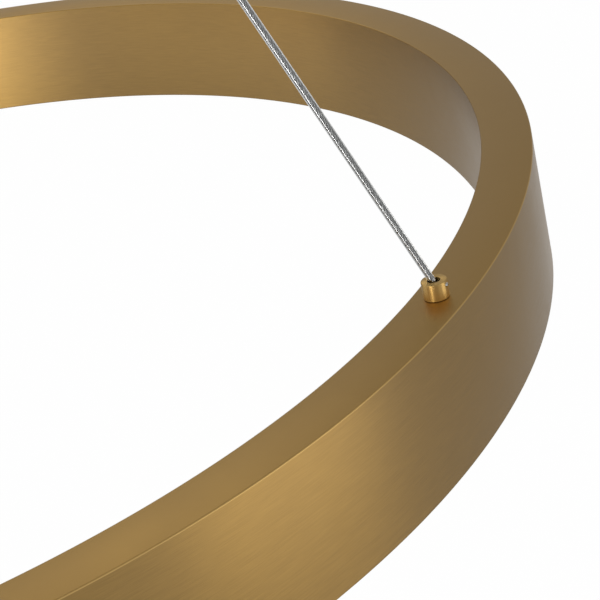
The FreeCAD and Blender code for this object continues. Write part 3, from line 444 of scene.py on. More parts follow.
def metalFinish(name, look):
    material, tree, shader = newMaterial(name)
    # a turned piece's lines go round its own axis
    place = attribute(tree, "lathe", "Vector") if "gloss" in look else objectPlace(tree)
    feeds = {"Place": place, "Across": look["across"], "Along": look["along"]}
    lines = result(tree, "ShaderNodeGroup", feeds, node_tree=brushLines)
    if "satinFrom" in look:  # the top face is satin, almost without hairlines
        level = addNode(tree, "ShaderNodeSeparateXYZ", {"Vector": place}).outputs["Z"]
        satin = fade(tree, level, look["satinFrom"], look["satinTo"])
        kept = spread(tree, satin, 1.0, look["satinLines"])
        lines = calc(tree, "MULTIPLY_ADD", calc(tree, "SUBTRACT", lines, 0.5), kept, 0.5)  # mid tone stays
    wander = wanderOver(tree, look["drift"])
    tone = weigh(tree, lines, look["lineShare"], wander["Drift"])
    dullness = weigh(tree, lines, brushing["dulls"], wander["Smudge"])
    colour = dress(tree, shader, look, tone, dullness, lines)
    feed(tree, shader, {"Metallic": 1.0})
    if "edgeHighlight" in look:  # painted highlight: the outer rounded edge's colour is lightened to stand in for the light line it catches
        edge = calc(tree, "MULTIPLY", satin, calc(tree, "SUBTRACT", 1.0, satin))
        outer = calc(tree, "GREATER_THAN", axisReach(tree, place), look["edgeHighlightFrom"])
        edge = calc(tree, "MULTIPLY", calc(tree, "MULTIPLY", edge, 4.0), outer)  # 1 in the edge's middle
        feed(tree, shader, {"Base Color": blendColour(tree, edge, colour, look["edgeHighlight"])})
    if "lacquer" in look:
        feed(tree, shader, {"Coat Weight": look["lacquer"], "Coat Roughness": lacquerRoughness})
    if "topLacquer" in look:  # it is thinner on the top face
        feed(tree, shader, {"Coat Weight": spread(tree, satin, look["lacquer"], look["topLacquer"])})
    if "gloss" in look:
        feed(tree, shader, {"Specular Tint": linear(*look["edgeTint"]), "Anisotropic": look["gloss"],
                            "Anisotropic Rotation": 0.25,  # the gloss spreads across the lines
                            "Tangent": vectorCalc(tree, "CROSS_PRODUCT", (0, 0, 1), place)})
    return material


def plasticFinish(name, look):
    material, tree, shader = newMaterial(name)
    feeds = {"Place": objectPlace(tree), "Scale": look["grain"]}
    grain = addNode(tree, "ShaderNodeGroup", feeds, node_tree=fineGrain).outputs
    wander = wanderOver(tree, look["drift"])
    tone = calc(tree, "MULTIPLY", wander["Drift"], grain["Pits"])
    dress(tree, shader, look, tone, wander["Smudge"], grain["Grain"])
    return material


canopyBrass = metalFinish("canopyBrass", {
    "deep": (109, 83, 36), "light": (124, 97, 45), "across": 4200, "along": 40, "drift": 9,
    "lineShare": 0.5, "roughness": (0.3, 0.4), "relief": 0.12, "depth": 0.00005, "gloss": 0.7,
    "edgeTint": (200, 196, 190), "lacquer": 0.45})
turnedBrass = metalFinish("turnedBrass", {
    "deep": (129, 103, 54), "light": (151, 122, 69), "across": 9000, "along": 150, "drift": 120,
    "lineShare": 0.4, "roughness": (0.31, 0.41), "relief": 0.06, "depth": 0.00003, "gloss": 0.85,
    "edgeTint": (205, 200, 190), "lacquer": 0.3})
plainBrass = metalFinish("plainBrass", {
    "deep": (140, 108, 52), "light": (164, 130, 70), "across": 2400, "along": 300, "drift": 120,
    "lineShare": 0.3, "roughness": (0.18, 0.3), "relief": 0.06, "depth": 0.00003})
zincSteel = metalFinish("zincSteel", {
    "deep": (168, 170, 172), "light": (205, 206, 204), "across": 2600, "along": 420, "drift": 90,
    "lineShare": 0.3, "roughness": (0.22, 0.4), "relief": 0.1, "depth": 0.00005})
screwSteel = metalFinish("screwSteel", {
    "deep": (112, 113, 113), "light": (138, 138, 137), "across": 6000, "along": 600, "drift": 200,
    "lineShare": 0.3, "roughness": (0.16, 0.26), "relief": 0.06, "depth": 0.00003})
carrierMetal = metalFinish("carrierMetal", {
    "deep": (176, 178, 180), "light": (202, 203, 204), "across": 3000, "along": 30, "drift": 20,
    "lineShare": 0.6, "roughness": (0.3, 0.45), "relief": 0.1, "depth": 0.00005})
solderMetal = metalFinish("solderMetal", {
    "deep": (170, 172, 174), "light": (214, 215, 214), "across": 900, "along": 700, "drift": 300,
    "lineShare": 0.2, "roughness": (0.15, 0.35), "relief": 0.2, "depth": 0.0001})
canMetal = metalFinish("canMetal", {
    "deep": (44, 50, 66), "light": (64, 72, 92), "across": 1500, "along": 60, "drift": 60,
    "lineShare": 0.4, "roughness": (0.3, 0.45), "relief": 0.05, "depth": 0.00005})
whitePlastic = plasticFinish("whitePlastic", {
    "deep": (214, 213, 208), "light": (228, 227, 223), "grain": 2400, "drift": 30,
    "roughness": (0.42, 0.55), "relief": 0.15, "depth": 0.00008})
opalAcrylic = plasticFinish("opalAcrylic", {
    "deep": (226, 226, 222), "light": (236, 236, 233), "grain": 3200, "drift": 12,
    "roughness": (0.32, 0.44), "relief": 0.06, "depth": 0.00005})
boardGreen = plasticFinish("boardGreen", {
    "deep": (28, 78, 52), "light": (44, 104, 70), "grain": 1200, "drift": 160, "roughness": (0.3, 0.45),
    "relief": 0.1, "depth": 0.00005})
chipLens = plasticFinish("chipLens", {
    "deep": (214, 190, 92), "light": (232, 212, 126), "grain": 1800, "drift": 300, "roughness": (0.25, 0.4),
    "relief": 0.1, "depth": 0.00005})
ferriteBlack = plasticFinish("ferriteBlack", {
    "deep": (42, 40, 39), "light": (58, 56, 54), "grain": 1500, "drift": 80, "roughness": (0.5, 0.7),
    "relief": 0.3, "depth": 0.0001})
foamBlack = plasticFinish("foamBlack", {
    "deep": (52, 52, 54), "light": (70, 70, 72), "grain": 900, "drift": 60, "roughness": (0.8, 0.95),
    "relief": 0.6, "depth": 0.0003})
fibreRed = plasticFinish("fibreRed", {
    "deep": (120, 60, 44), "light": (142, 76, 56), "grain": 1100, "drift": 120, "roughness": (0.6, 0.8),
    "relief": 0.3, "depth": 0.0001})
wireSkin = {"grain": 1800, "drift": 80, "roughness": (0.35, 0.5), "relief": 0.1, "depth": 0.00005}
leadJacket = plasticFinish("leadJacket", {**wireSkin, "deep": (196, 196, 192), "light": (214, 214, 210)})
brownJacket = plasticFinish("brownJacket", {**wireSkin, "deep": (104, 64, 44), "light": (122, 78, 54)})
blueJacket = plasticFinish("blueJacket", {**wireSkin, "deep": (44, 84, 142), "light": (58, 102, 162)})
print("finishes built")


# ring: an upside-down U profile, brushed

ring = {"width": 0.018, "wall": 0.0016, "web": 0.002, "edge": 0.0005, "steps": 720, "holeCircle": 0.2901,
        "webHole": 0.0026,
        "ledges": [(0.0006, 0.0454, 0.0446), (0.001, 0.0221, 0.0209),
                   (0.001, 0.0192, 0.018)]}  # depth, start and end below the top
ringLow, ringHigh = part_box("ring_profile")
ringTop, ringBase, ringOuter = ringHigh[2], ringLow[2], ringHigh[0]
ringInner = ringOuter - ring["width"]
ringBrass = metalFinish("ringBrass", {
    "deep": (106, 81, 35), "light": (128, 100, 47), "across": 4200, "along": 100, "drift": 5,
    "lineShare": 0.6, "roughness": (0.3, 0.42), "relief": 0.22, "depth": 0.00005, "gloss": 0.75,
    "edgeTint": (200, 196, 190), "lacquer": 0.5, "topLacquer": 0.3, "satinLines": 0.15,
    "satinFrom": ringTop - ring["edge"], "satinTo": ringTop - 0.00001,  # the top's rounded edge
    # painted highlight colour for the outer rounded edge, from the ring's middle outward
    "edgeHighlight": (152, 123, 70), "edgeHighlightFrom": ringOuter - ring["width"] / 2})


def ringOutline():
    points = roundCorner(ringInner, ringBase, ring["edge"], (1, 1), upright=True)
    points += roundCorner(ringInner, ringTop, ring["edge"], (1, -1), upright=False)
    points += roundCorner(ringOuter, ringTop, ring["edge"], (-1, -1), upright=True)
    points += roundCorner(ringOuter, ringBase, ring["edge"], (-1, 1), upright=False)
    for face, inward in ((ringOuter - ring["wall"], -1), (ringInner + ring["wall"], 1)):
        side = [(face, ringBase)]
        for depth, under, over in ring["ledges"]:
            tip, low, high = face + inward * depth, ringTop - under, ringTop - over
            side += [(face, low), (tip, low), (tip, high), (face, high)]
        side.append((face, ringTop - ring["web"]))
        points += side if inward < 0 else side[::-1]
    return points


ringBand = turnPiece("ringBand", ringOutline(), ringBrass, ring["steps"])
drillHoles(ringBand, drillBit(ring["webHole"], ringTop - 2 * ring["web"], ringTop + ring["web"], ringBrass,
                              circle=ring["holeCircle"], **onCables))  # the ferrules' shanks
handOver(ringBand, "ring", "ring_brass", "ring_profile")
print("ring:", len(ringBand.data.polygons), "faces")


# diffuser: an opal strip that snaps in between the ring's walls

diffuser = {"gap": 0.00015, "floor": 0.0015, "edge": 0.0003, "leg": 0.0012, "legInset": 0.00075,
            "hook": 0.0005, "hookLow": 0.0445, "hookHigh": 0.0433, "steps": 540}


def diffuserOutline():
    inner, outer, gap = ringInner + ring["wall"], ringOuter - ring["wall"], diffuser["gap"]
    shelf = ringBase + diffuser["floor"]
    low, high = ringTop - diffuser["hookLow"], ringTop - diffuser["hookHigh"]
    points = [(inner + gap, shelf)]
    points += roundCorner(inner + gap, ringBase, diffuser["edge"], (1, 1), upright=False)
    points += roundCorner(outer - gap, ringBase, diffuser["edge"], (-1, 1), upright=True)
    points.append((outer - gap, shelf))
    for face, inward in ((outer, -1), (inner, 1)):
        back = face + inward * diffuser["legInset"]
        tip = back - inward * diffuser["hook"]
        front = back + inward * diffuser["leg"]
        leg = [(back, shelf), (back, low), (tip, low), (tip, high), (front, high), (front, shelf)]
        points += leg if inward < 0 else leg[::-1]
    return points


diffuserStrip = turnPiece("diffuserStrip", diffuserOutline(), opalAcrylic, diffuser["steps"])
handOver(diffuserStrip, "ring", "opal_diffuser", "diffuser")


# ferrules: small turned barrels in which the cables end

ferrule = {"circle": 0.2901, "radius": 0.00395, "height": 0.0056, "mouth": 0.00195, "lip": 0.00015,
           "mouthDepth": 0.0048, "bore": 0.0015, "shank": 0.0025, "shankLength": 0.007, "rim": 0.0003,
           "rimSteps": 3, "foot": 0.0002, "steps": 96}


def ferruleOutline():
    radius, mouth, bore, shank = (ferrule[key] for key in ("radius", "mouth", "bore", "shank"))
    lip, foot, top = ferrule["lip"], ferrule["foot"], ringTop + ferrule["height"]
    step, end = top - ferrule["mouthDepth"], ringTop - ferrule["shankLength"]
    points = [(mouth, top - lip), (mouth + lip, top)]
    points += roundCorner(radius, top, ferrule["rim"], (-1, -1), upright=True, steps=ferrule["rimSteps"])
    return points + [(radius, ringTop + foot), (radius - foot, ringTop), (shank, ringTop), (shank, end),
                     (bore, end), (bore, step), (mouth, step)]


barrels = turnPiece("ferruleBarrels", ferruleOutline(), turnedBrass, ferrule["steps"],
                    circle=ferrule["circle"], **onCables)
handOver(barrels, "ring", "hardware_brass", "ferrule_1", "ferrule_2", "ferrule_3")

grub = {"radius": 0.001, "length": 0.0024, "proud": 0.0004, "drop": 0.0015, "tip": 0.0007, "neck": 0.0006,
        "round": 0.0004, "chamfer": 0.0001, "socket": 0.00025, "socketDepth": 0.0004, "steps": 32}


def grubOutline():
    radius, tail, floorLevel = grub["radius"], -grub["length"], -grub["socketDepth"]  # its face is level 0
    points = [(0.0, tail), (radius - grub["chamfer"], tail), (radius, tail + grub["chamfer"])]
    points += [(radius, -2 * grub["neck"]), (grub["tip"], -grub["neck"])]
    points += roundCorner(grub["tip"], 0.0, grub["round"], (-1, -1), upright=False)
    return points + [(grub["socket"], 0.0), (grub["socket"], floorLevel), (0.0, floorLevel)]


grubs = turnPiece("grubScrews", grubOutline(), screwSteel, grub["steps"], tilt=90, **onCables,
                  circle=ferrule["circle"] + ferrule["radius"] + grub["proud"],
                  level=ringTop + ferrule["height"] - grub["drop"])
handOver(grubs, "ring", "zinc_steel", "ferrule_grub_screws")
print("ferrules:", len(barrels.data.polygons), "faces")


# canopy: a spun cup with a rounded lower corner

canopy = {"wall": 0.001, "corner": 0.004, "cornerSteps": 10, "insideSteps": 8, "rim": 0.0003, "rimSteps": 2,
          "steps": 240, "holeCircle": 0.075, "shankHole": 0.0051, "sideHole": 0.0022, "sideLevel": -0.009}
canopyLow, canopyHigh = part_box("canopy_cup")
canopyFace = canopyLow[2]


def canopyOutline():
    rim, radius, wall, corner = canopyHigh[2], canopyHigh[0], canopy["wall"], canopy["corner"]
    points = [(0.0, canopyFace)]
    bend = roundCorner(radius, canopyFace, corner, (-1, 1), upright=False, steps=canopy["cornerSteps"])
    points += bend[::-1]
    points += roundCorner(radius, rim, canopy["rim"], (-1, -1), upright=False, steps=canopy["rimSteps"])
    points.append((radius - wall, rim))
    points += roundCorner(radius - wall, canopyFace + wall, corner - wall, (-1, 1), upright=False,
                          steps=canopy["insideSteps"])
    return points + [(0.0, canopyFace + wall)]


def drillCanopy():
    # the grippers' shanks go through the floor and the side screws through the wall
    wall = canopy["wall"]
    shanks = drillBit(canopy["shankHole"], canopyFace - wall, canopyFace + 2 * wall, canopyBrass,
                      circle=canopy["holeCircle"], **onCables)
    sides = drillBit(canopy["sideHole"], -2 * wall, wall, canopyBrass, copies=2, circle=canopyHigh[0],
                     level=canopy["sideLevel"], tilt=90)
    drillHoles(canopyShell, shanks, sides)


canopyShell = turnPiece("canopyShell", canopyOutline(), canopyBrass, canopy["steps"])
drillCanopy()
handOver(canopyShell, "canopy", "canopy_brass", "canopy_cup")
print("canopy:", len(canopyShell.data.polygons), "faces")


# grippers: turned bodies below the canopy, each with a release plunger that slides in it

gripper = {"circle": 0.075, "top": 0.012, "shank": 0.005, "chamber": 0.004, "radius": 0.007, "length": 0.02,
           "chamfer": 0.001, "guide": 0.00265, "coneFoot": 0.0085, "coneEnd": 0.0031, "coneTop": 0.004,
           "grooves": (0.0135, 0.0155), "groove": 0.0004, "steps": 96}
plunger = {"bore": 0.0015, "collar": 0.0037, "collarTop": 0.002, "collarFoot": 0.0035, "radius": 0.0026,
           "nose": 0.026, "rim": 0.0002, "flare": 0.0007, "steps": 64}


def gripperOutline():
    radius, shank, chamber, guide = (gripper[key] for key in ("radius", "shank", "chamber", "guide"))
    top, foot, cone = gripper["top"], -gripper["length"], -gripper["coneFoot"]
    chamfer, half = gripper["chamfer"], gripper["groove"] / 2
    points = [(chamber, top), (shank, top), (shank, 0.0), (radius, 0.0)]
    for level in gripper["grooves"]:
        points += [(radius, half - level), (radius - half, -level), (radius, -half - level)]
    points += [(radius, chamfer + foot), (radius - chamfer, foot), (guide, foot), (guide, cone),
               (gripper["coneEnd"], cone), (chamber, -gripper["coneTop"])]
    return [(x, canopyFace + level) for x, level in points]


def plungerOutline():
    radius, bore, collar, rim = plunger["radius"], plunger["bore"], plunger["collar"], plunger["rim"]
    top, foot, nose = -plunger["collarTop"], -plunger["collarFoot"], -plunger["nose"]
    points = [(bore, top), (collar, top), (collar, foot), (radius, foot), (radius, nose + rim),
              (radius - rim, nose), (bore + plunger["flare"], nose), (bore, nose + plunger["flare"])]
    return [(x, canopyFace + level) for x, level in points]


bodies = turnPiece("gripperBodies", gripperOutline(), turnedBrass, gripper["steps"],
                   circle=gripper["circle"], **onCables)
handOver(bodies, "canopy", "hardware_brass", "gripper_body_1", "gripper_body_2", "gripper_body_3")
for number, azimuth in azimuths.items():
    sleeve = turnPiece(f"plungerSleeve_{number}", plungerOutline(), turnedBrass, plunger["steps"],
                       circle=gripper["circle"], azimuth=azimuth)
    handOver(sleeve, f"release_{number}", "hardware_brass", f"plunger_{number}")
print("grippers and plungers turned")


# release springs, squeezed between a plunger's collar and its gripper's cap

spring = {"radius": 0.0032, "wire": 0.0003, "turns": 8, "turnPoints": 20, "foot": -0.03765,
          "head": -0.02635, "capLevel": -0.026, "step": 0.0006, "sides": 8}


def windSpring(number):
    count = spring["turns"] * spring["turnPoints"]
    middle = polar(gripper["circle"], azimuths[number], 0)
    line = []
    for i in range(count + 1):
        level = spring["foot"] + (spring["head"] - spring["foot"]) * i / count
        line.append(middle + polar(spring["radius"], 360 * i / spring["turnPoints"], level))
    coil = layStrands(f"releaseSpring_{number}", line, spring["wire"], spring["step"], spring["sides"],
                      zincSteel)
    handOver(coil, "canopy", "zinc_steel", f"gripper_spring_{number}")
    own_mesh(coil)


for number in azimuths:
    windSpring(number)
print("springs wound")


# cables: a clear jacket over twisted steel strands

cable = {"diameter": 0.0024, "length": 0.545, "jacketSides": 24, "jacketStep": 0.002, "exitLevel": -0.036,
         "mouthLevel": -0.062,
         "route": [(0.0750, -0.0240), (0.0750, -0.0476), (0.0750, -0.0620), (0.0813, -0.0749),
                   (0.2016, -0.3175),  # the slight bow in the photo
                   (0.2838, -0.4901), (0.2885, -0.4998), (0.2901, -0.5031), (0.2901, -0.5067),
                   (0.2901, -0.5197)]}  # radius, level
strands = {"count": 6, "radius": 0.000215, "layRadius": 0.00042, "layLength": 0.0105, "step": 0.0006,
           "sides": 8, "coreRadius": 0.000215}
jacketLook = {"deep": (154, 156, 155), "light": (168, 169, 168), "drift": 60.0, "roughness": (0.03, 0.1),
              "relief": 0.01, "depth": 0.0001, "ior": 1.45, "skinIor": 1.65, "skinRoughness": 0.06}
# deep is the painted shade between strands, light the painted highlight on their crests; shine scales that
# painted highlight along each strand
steelLook = {"deep": (7, 7, 8), "light": (192, 193, 192), "crest": (0.84, 0.99), "dashes": 700.0,
             "shift": 90.0, "dashBand": (0.35, 0.65), "shine": (0.45, 1.0), "roughness": (0.45, 0.25),
             "relief": 0.2, "depth": 0.00003}


def clearJacket(look):
    material, tree, shader = newMaterial("clearJacket")
    wander = wanderOver(tree, look["drift"])
    dress(tree, shader, look, wander["Drift"], wander["Smudge"], wander["Smudge"])
    feed(tree, shader, {"Transmission Weight": 1.0, "IOR": look["ior"], "Coat Weight": 1.0,
                        "Coat IOR": look["skinIor"], "Coat Roughness": look["skinRoughness"]})
    return material


def strandSteel(look):
    # painted highlight where a strand bulges, painted shade in the gaps between strands
    material, tree, shader = newMaterial("strandSteel")
    shift = calc(tree, "MULTIPLY", attribute(tree, "strandTone"), look["shift"])
    along = calc(tree, "MULTIPLY_ADD", attribute(tree, "along"), look["dashes"], shift)
    feeds = {"W": along, "Scale": 1.0, "Detail": 1.0}
    dashes = fade(tree, result(tree, "ShaderNodeTexNoise", feeds, noise_dimensions="1D"), *look["dashBand"])
    # painted highlight on the crests, fading to painted shade in the gaps
    crest = fade(tree, attribute(tree, "bulge"), *look["crest"])
    tone = calc(tree, "MULTIPLY", crest, spread(tree, dashes, *look["shine"]))
    dress(tree, shader, look, tone, dashes, dashes)
    feed(tree, shader, {"Metallic": 1.0})
    return material


def addSpline(curve, kind, points):
    spline = curve.splines.new(kind)
    spline.points.add(len(points) - 1)
    for point, place in zip(spline.points, points):
        point.co = (*place, 1.0)
    return spline


def nurbsLine(name, points):
    curve = bpy.data.curves.new(name, "CURVE")
    curve.dimensions = "3D"
    curve.resolution_u = lineSteps
    spline = addSpline(curve, "NURBS", points)
    spline.order_u = 3
    spline.use_endpoint_u = True
    holder = addObject(name, curve)
    mesh = evaluatedMesh(holder)
    places = [tuple(vertex.co) for vertex in mesh.vertices]
    bpy.data.objects.remove(holder)
    bpy.data.meshes.remove(mesh)
    return places


def dressCable(name, number, line, step):
    # the jacket, the core and the strands of one stretch of cable
    sides = strands["sides"]
    skin = layStrands(f"{name}Jacket_{number}", line, cable["diameter"] / 2, step, cable["jacketSides"],
                      jacketFinish)
    heart = layStrands(f"{name}Heart_{number}", line, strands["coreRadius"], step, sides, steelFinish)
    rope = layStrands(f"{name}Strands_{number}", line, strands["radius"], strands["step"], sides,
                      steelFinish, strands["count"], strands["layRadius"], strands["layLength"], number)
    for piece in (heart, rope):
        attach(piece, "canopy")
    return skin, heart, rope


def makeCable(number):
    azimuth = azimuths[number]
    line = nurbsLine("cableLine", [polar(radius, azimuth, level) for radius, level in cable["route"]])
    skin, heart, rope = dressCable("cable", number, line, cable["jacketStep"])
    handOver(skin, "canopy", "clear_cable", f"cable_{number}")
    for piece in (skin, heart, rope):
        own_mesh(piece)
    return len(skin.data.polygons) + len(rope.data.polygons)


jacketFinish, steelFinish = clearJacket(jacketLook), strandSteel(steelLook)
for number in azimuths:
    print("cable", number, "faces:", makeCable(number))


# tails: the two fed cables go on from their grippers to the driver

tail = {"step": 0.0008,
        "routes": {1: [(0.06495, -0.0375, -0.0240), (0.06495, -0.0375, -0.0056),
                       (0.04858, -0.0291, -0.0056), (0.0250, -0.0170, -0.0056), (0.0250, -0.0170, -0.0127)],
                   2: [(0.0, 0.0750, -0.0240), (0.0, 0.0750, -0.0056), (0.0, 0.0566, -0.0056),
                       (0.0, 0.0170, -0.0056), (0.0, 0.0170, -0.0127)]},
        "lengths": {1: 0.0663, 2: 0.0794}}


def makeTail(number):
    route = tail["routes"][number]
    line = nurbsLine("tailLine", route)
    skin, heart, rope = dressCable("tail", number, line, tail["step"])
    handOver(skin, "canopy", "clear_cable", "cable_tails")


for number in tail["routes"]:
    makeTail(number)
print("tails laid")


# wires between the terminal block, the driver and the bracket

wire = {"radius": 0.0009, "step": 0.0008, "sides": 16, "level": -0.0260, "mainsEnds": (-0.0500, -0.0220),
        "mains": {"brown": (0.011, brownJacket), "blue": (-0.011, blueJacket)}, "earthLength": 0.0600,
        "earthRoute": [(-0.0140, -0.00965, -0.0028), (-0.0140, -0.00965, -0.0127),
                       (-0.0070, -0.0274, -0.0127), (0.0, -0.0274, -0.0260), (0.0, -0.0500, -0.0260)]}
earthLook = {**wireSkin, "deep": (204, 186, 52), "light": (50, 112, 46), "stripe": (0.6, 0.68),
             "stripeShare": 0.9}
eye = {"middle": (-0.0140, 0.0), "radius": 0.004, "bore": 0.0021, "tongue": 0.0027, "reach": 0.011,
       "corner": 0.0006, "low": -0.0028, "thick": 0.0008, "bevel": 0.0001, "crimp": 0.0013,
       "crimpLength": 0.0035, "steps": 40}


def stripedJacket(look):
    # yellow with a green stripe along each side
    material, tree, shader = newMaterial("earthJacket")
    wander = wanderOver(tree, look["drift"])
    stripe = fade(tree, calc(tree, "ABSOLUTE", attribute(tree, "around")), *look["stripe"])
    tone = weigh(tree, stripe, look["stripeShare"], wander["Drift"])
    dress(tree, shader, look, tone, wander["Smudge"], wander["Smudge"])
    return material


def eyeArc(radius, start, sweep, count):
    angles = [start + sweep * i / eye["steps"] for i in range(count)]
    return [(radius * math.cos(angle), radius * math.sin(angle), 0.0) for angle in angles]


def eyeOutline():
    # a round eye that runs out into a tongue
    half, foot, corner = eye["tongue"] / 2, -eye["reach"], eye["corner"]
    gap = math.asin(half / eye["radius"])
    points = eyeArc(eye["radius"], gap - math.pi / 2, math.tau - 2 * gap, eye["steps"] + 1)
    return points + [(-half, foot + corner, 0.0), (corner - half, foot, 0.0), (half - corner, foot, 0.0),
                     (half, foot + corner, 0.0)]


def pressEye():
    curve = bpy.data.curves.new("earthEye", "CURVE")
    curve.dimensions = "2D"
    curve.fill_mode = "BOTH"
    curve.extrude = eye["thick"] / 2 - eye["bevel"]
    curve.bevel_depth = eye["bevel"]
    curve.offset = -eye["bevel"]
    for outline in (eyeOutline(), eyeArc(eye["bore"], 0.0, math.tau, eye["steps"])):
        addSpline(curve, "POLY", outline).use_cyclic_u = True
    holder = addObject("earthEye", curve)
    mesh = evaluatedMesh(holder)
    bpy.data.objects.remove(holder)
    mesh.transform(Matrix.Translation((*eye["middle"], eye["low"] + eye["thick"] / 2)))
    closeShell(openShell(mesh, weld=True), mesh)
    mesh.materials.clear()
    mesh.materials.append(zincSteel)
    return addObject("earthEye", mesh)


def layWires():
    radius, step, sides, route = wire["radius"], wire["step"], wire["sides"], wire["earthRoute"]
    for name, (x, finish) in wire["mains"].items():
        line = [(x, y, wire["level"]) for y in wire["mainsEnds"]]
        lead = layStrands(f"mainsLead_{name}", line, radius, step, sides, finish)
        handOver(lead, "canopy", "lead_jacket", "mains_leads")
    line = nurbsLine("earthLine", route)
    lead = layStrands("earthWire", line, radius, step, sides, stripedJacket(earthLook))
    handOver(lead, "canopy", "earth_jacket", "earth_lead")
    plate = pressEye()
    crimpLine = [route[0], (*route[0][:2], route[0][2] - eye["crimpLength"])]
    crimp = layStrands("earthCrimp", crimpLine, eye["crimp"], step, sides, zincSteel)
    for piece in (plate, crimp):
        handOver(piece, "canopy", "zinc_steel", "earth_lead")


layWires()
print("wires laid")


# foam pads that hold the driver and the terminal block down

pad = {"thick": 0.001, "corner": 0.0015, "cornerSteps": 5, "bulge": 0.0004, "bulgeSteps": 4, "fill": 0.9,
       "spots": [(0.025, 0.0, 0.025, 0.022), (-0.025, 0.0, 0.025, 0.022),
                 (0.0, -0.054, 0.018, 0.008)]}  # x, y, long, wide


def roundEdges(block, upright, size, steps):
    def isUpright(edge):
        return abs(edge.verts[0].co.z - edge.verts[1].co.z) > pad["thick"] / 2
    chosen = [edge for edge in block.edges if isUpright(edge) == upright]
    bmesh.ops.bevel(block, geom=chosen, offset=size, segments=steps, affect="EDGES", profile=0.5)


def cutPads():
    foam = bmesh.new()
    level = canopyFace + canopy["wall"] + pad["thick"] / 2
    for x, y, long, wide in pad["spots"]:
        block = bmesh.new()
        place = Matrix.Translation((x, y, level)) @ Matrix.Diagonal((long, wide, pad["thick"], 1))
        bmesh.ops.create_cube(block, size=1.0, matrix=place)
        roundEdges(block, True, pad["corner"], pad["cornerSteps"])
        roundEdges(block, False, pad["bulge"], pad["bulgeSteps"])
        bmesh.ops.recalc_face_normals(block, faces=block.faces)
        part = closeShell(block, bpy.data.meshes.new("block"))
        foam.from_mesh(part)
        bpy.data.meshes.remove(part)
    mesh = closeShell(foam, bpy.data.meshes.new("mountingFoam"))
    mesh.materials.append(foamBlack)
    piece = addObject("mountingFoam", mesh)
    handOver(piece, "canopy", "foam_pad", "mounting_pads")


cutPads()
print("foam pads cut")


# finishes of the pieces that keep their CAD shape

nodeFinishes = {
    plainBrass: ["gripper_caps", "canopy_side_screws", "driver_output_terminals"],
    zincSteel: ["ceiling_bracket", "gripper_locknuts", "ferrule_nuts", "driver_lid_screws",
                "terminal_screws", "earth_screw", "cable_stops", "cable_end_sleeve", "gripper_balls_1",
                "gripper_balls_2", "gripper_balls_3"],
    whitePlastic: ["driver_case", "driver_lid", "terminal_block"],
    carrierMetal: ["led_carrier"],
    boardGreen: ["driver_board", "led_strip"],
    chipLens: ["led_chips"],
    solderMetal: ["solder_pads"],
    ferriteBlack: ["driver_transformer"],
    canMetal: ["driver_capacitors"],
    leadJacket: ["ring_leads"],
    fibreRed: ["ferrule_washers"],
}
for finish, names in nodeFinishes.items():
    for name in names:
        cadNodes[name].material_slots[0].material = finish
print("finishes set on", sum(map(len, nodeFinishes.values())), "CAD nodes")


# camera, floor and light

camera = {"place": (0.23731, -0.62594, -0.27050), "heading": 3.06, "pitch": 25.41, "roll": 13.37,
          "lens": 108.63, "sensor": 36.0, "nearest": 0.01}
floor = {"level": -3.0, "size": 40.0, "colours": ((240, 240, 238), (246, 246, 245)), "drift": 3.0,
         "roughness": 0.9, "glow": 0.985}
studio = {"fill": 0.55, "secondGlow": 4.0, "target": (0, 0, -0.5), "distance": 2.2,
          "lamps": {"leftLamp": (-133, 4, 0.8, 2.5, 13.0), "stripLamp": (-119, -3, 0.65, 1.35, 32.0),
                    "lowLamp": (-102, -8, 0.5, 0.35, 5.0), "leftFill": (-178, 0, 2.3, 2.0, 13.0),
                    "rightLamp": (-19, -10, 1.05, 1.3, 12.6), "rightFill": (-46, 0, 1.2, 2.0, 4.0),
                    "topLamp": (105, 42, 1.4, 0.9, 8.0)}}  # azimuth, height, wide, tall, watts
white = (1, 1, 1, 1)


def placeCamera():
    data = bpy.data.cameras.new("camera")
    data.sensor_width = camera["sensor"]
    data.lens = camera["lens"]
    data.clip_start = camera["nearest"]
    turn = Matrix.Rotation(math.radians(camera["heading"]), 4, "Z")
    turn @= Matrix.Rotation(math.radians(90 - camera["pitch"]), 4, "X")
    turn @= Matrix.Rotation(math.radians(-camera["roll"]), 4, "Z")
    scene.camera = addObject("camera", data)
    scene.camera.matrix_world = Matrix.Translation(camera["place"]) @ turn


def seenDirectly(tree):
    # 1 for what the camera sees, straight or in metal and glass
    path = addNode(tree, "ShaderNodeLightPath").outputs
    mirrored = calc(tree, "MAXIMUM", path["Is Glossy Ray"], path["Is Transmission Ray"])
    return calc(tree, "MAXIMUM", path["Is Camera Ray"], mirrored)


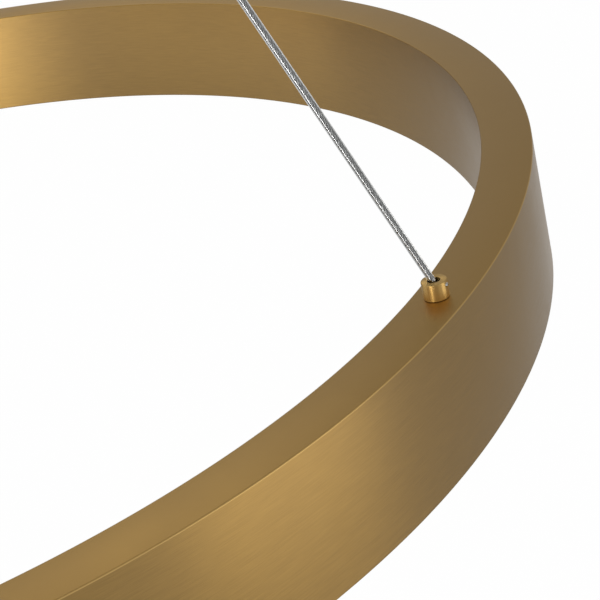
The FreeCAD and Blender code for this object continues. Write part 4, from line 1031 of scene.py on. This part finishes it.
def showMixed(tree, output, share, first, second):
    mixed = result(tree, "ShaderNodeMixShader", {0: share, 1: first, 2: second})
    feed(tree, tree.nodes[output], {"Surface": mixed})


def layFloor():
    half = floor["size"] / 2
    mesh = bpy.data.meshes.new("floor")
    corners = [(-half, -half), (half, -half), (half, half), (-half, half)]
    mesh.from_pydata([(x, y, floor["level"]) for x, y in corners], [], [(0, 1, 2, 3)])
    material, tree, shader = newMaterial("paleFloor")
    colour = blendColour(tree, wanderOver(tree, floor["drift"])["Drift"], *floor["colours"])
    feed(tree, shader, {"Base Color": colour, "Roughness": floor["roughness"]})
    glow = result(tree, "ShaderNodeEmission", {"Color": white, "Strength": 1.0})
    share = calc(tree, "MULTIPLY", seenDirectly(tree), floor["glow"])  # the rest keeps the shadow
    showMixed(tree, "Material Output", share, shader.outputs[0], glow)
    mesh.materials.append(material)
    addObject("floor", mesh)


def lightStudio():
    scene.world = bpy.data.worlds.new("studio")
    scene.world.use_nodes = True
    tree = scene.world.node_tree
    soft = tree.nodes["Background"]
    feed(tree, soft, {"Color": white, "Strength": studio["fill"]})
    bounces = addNode(tree, "ShaderNodeLightPath").outputs["Glossy Depth"]
    twice = calc(tree, "GREATER_THAN", bounces, 1.5)  # metal mirrored in metal would be too dark
    feeds = {"Color": white, "Strength": spread(tree, twice, 1.0, studio["secondGlow"])}
    bright = result(tree, "ShaderNodeBackground", feeds)
    showMixed(tree, "World Output", seenDirectly(tree), soft.outputs[0], bright)


def hangLamps():
    target = Vector(studio["target"])
    for name, (azimuth, height, wide, tall, watts) in studio["lamps"].items():
        data = bpy.data.lights.new(name, "AREA")
        data.shape = "RECTANGLE"
        data.size = wide
        data.size_y = tall
        data.energy = watts
        tilt = math.radians(height)
        spot = target + studio["distance"] * polar(math.cos(tilt), azimuth, math.sin(tilt))
        turn = (target - spot).to_track_quat("-Z", "Y").to_matrix().to_4x4()
        holder = addObject(name, data)
        holder.matrix_world = Matrix.Translation(spot) @ turn
        holder.visible_camera = False


placeCamera()
layFloor()
lightStudio()
hangLamps()
print("camera, floor and lamps placed")
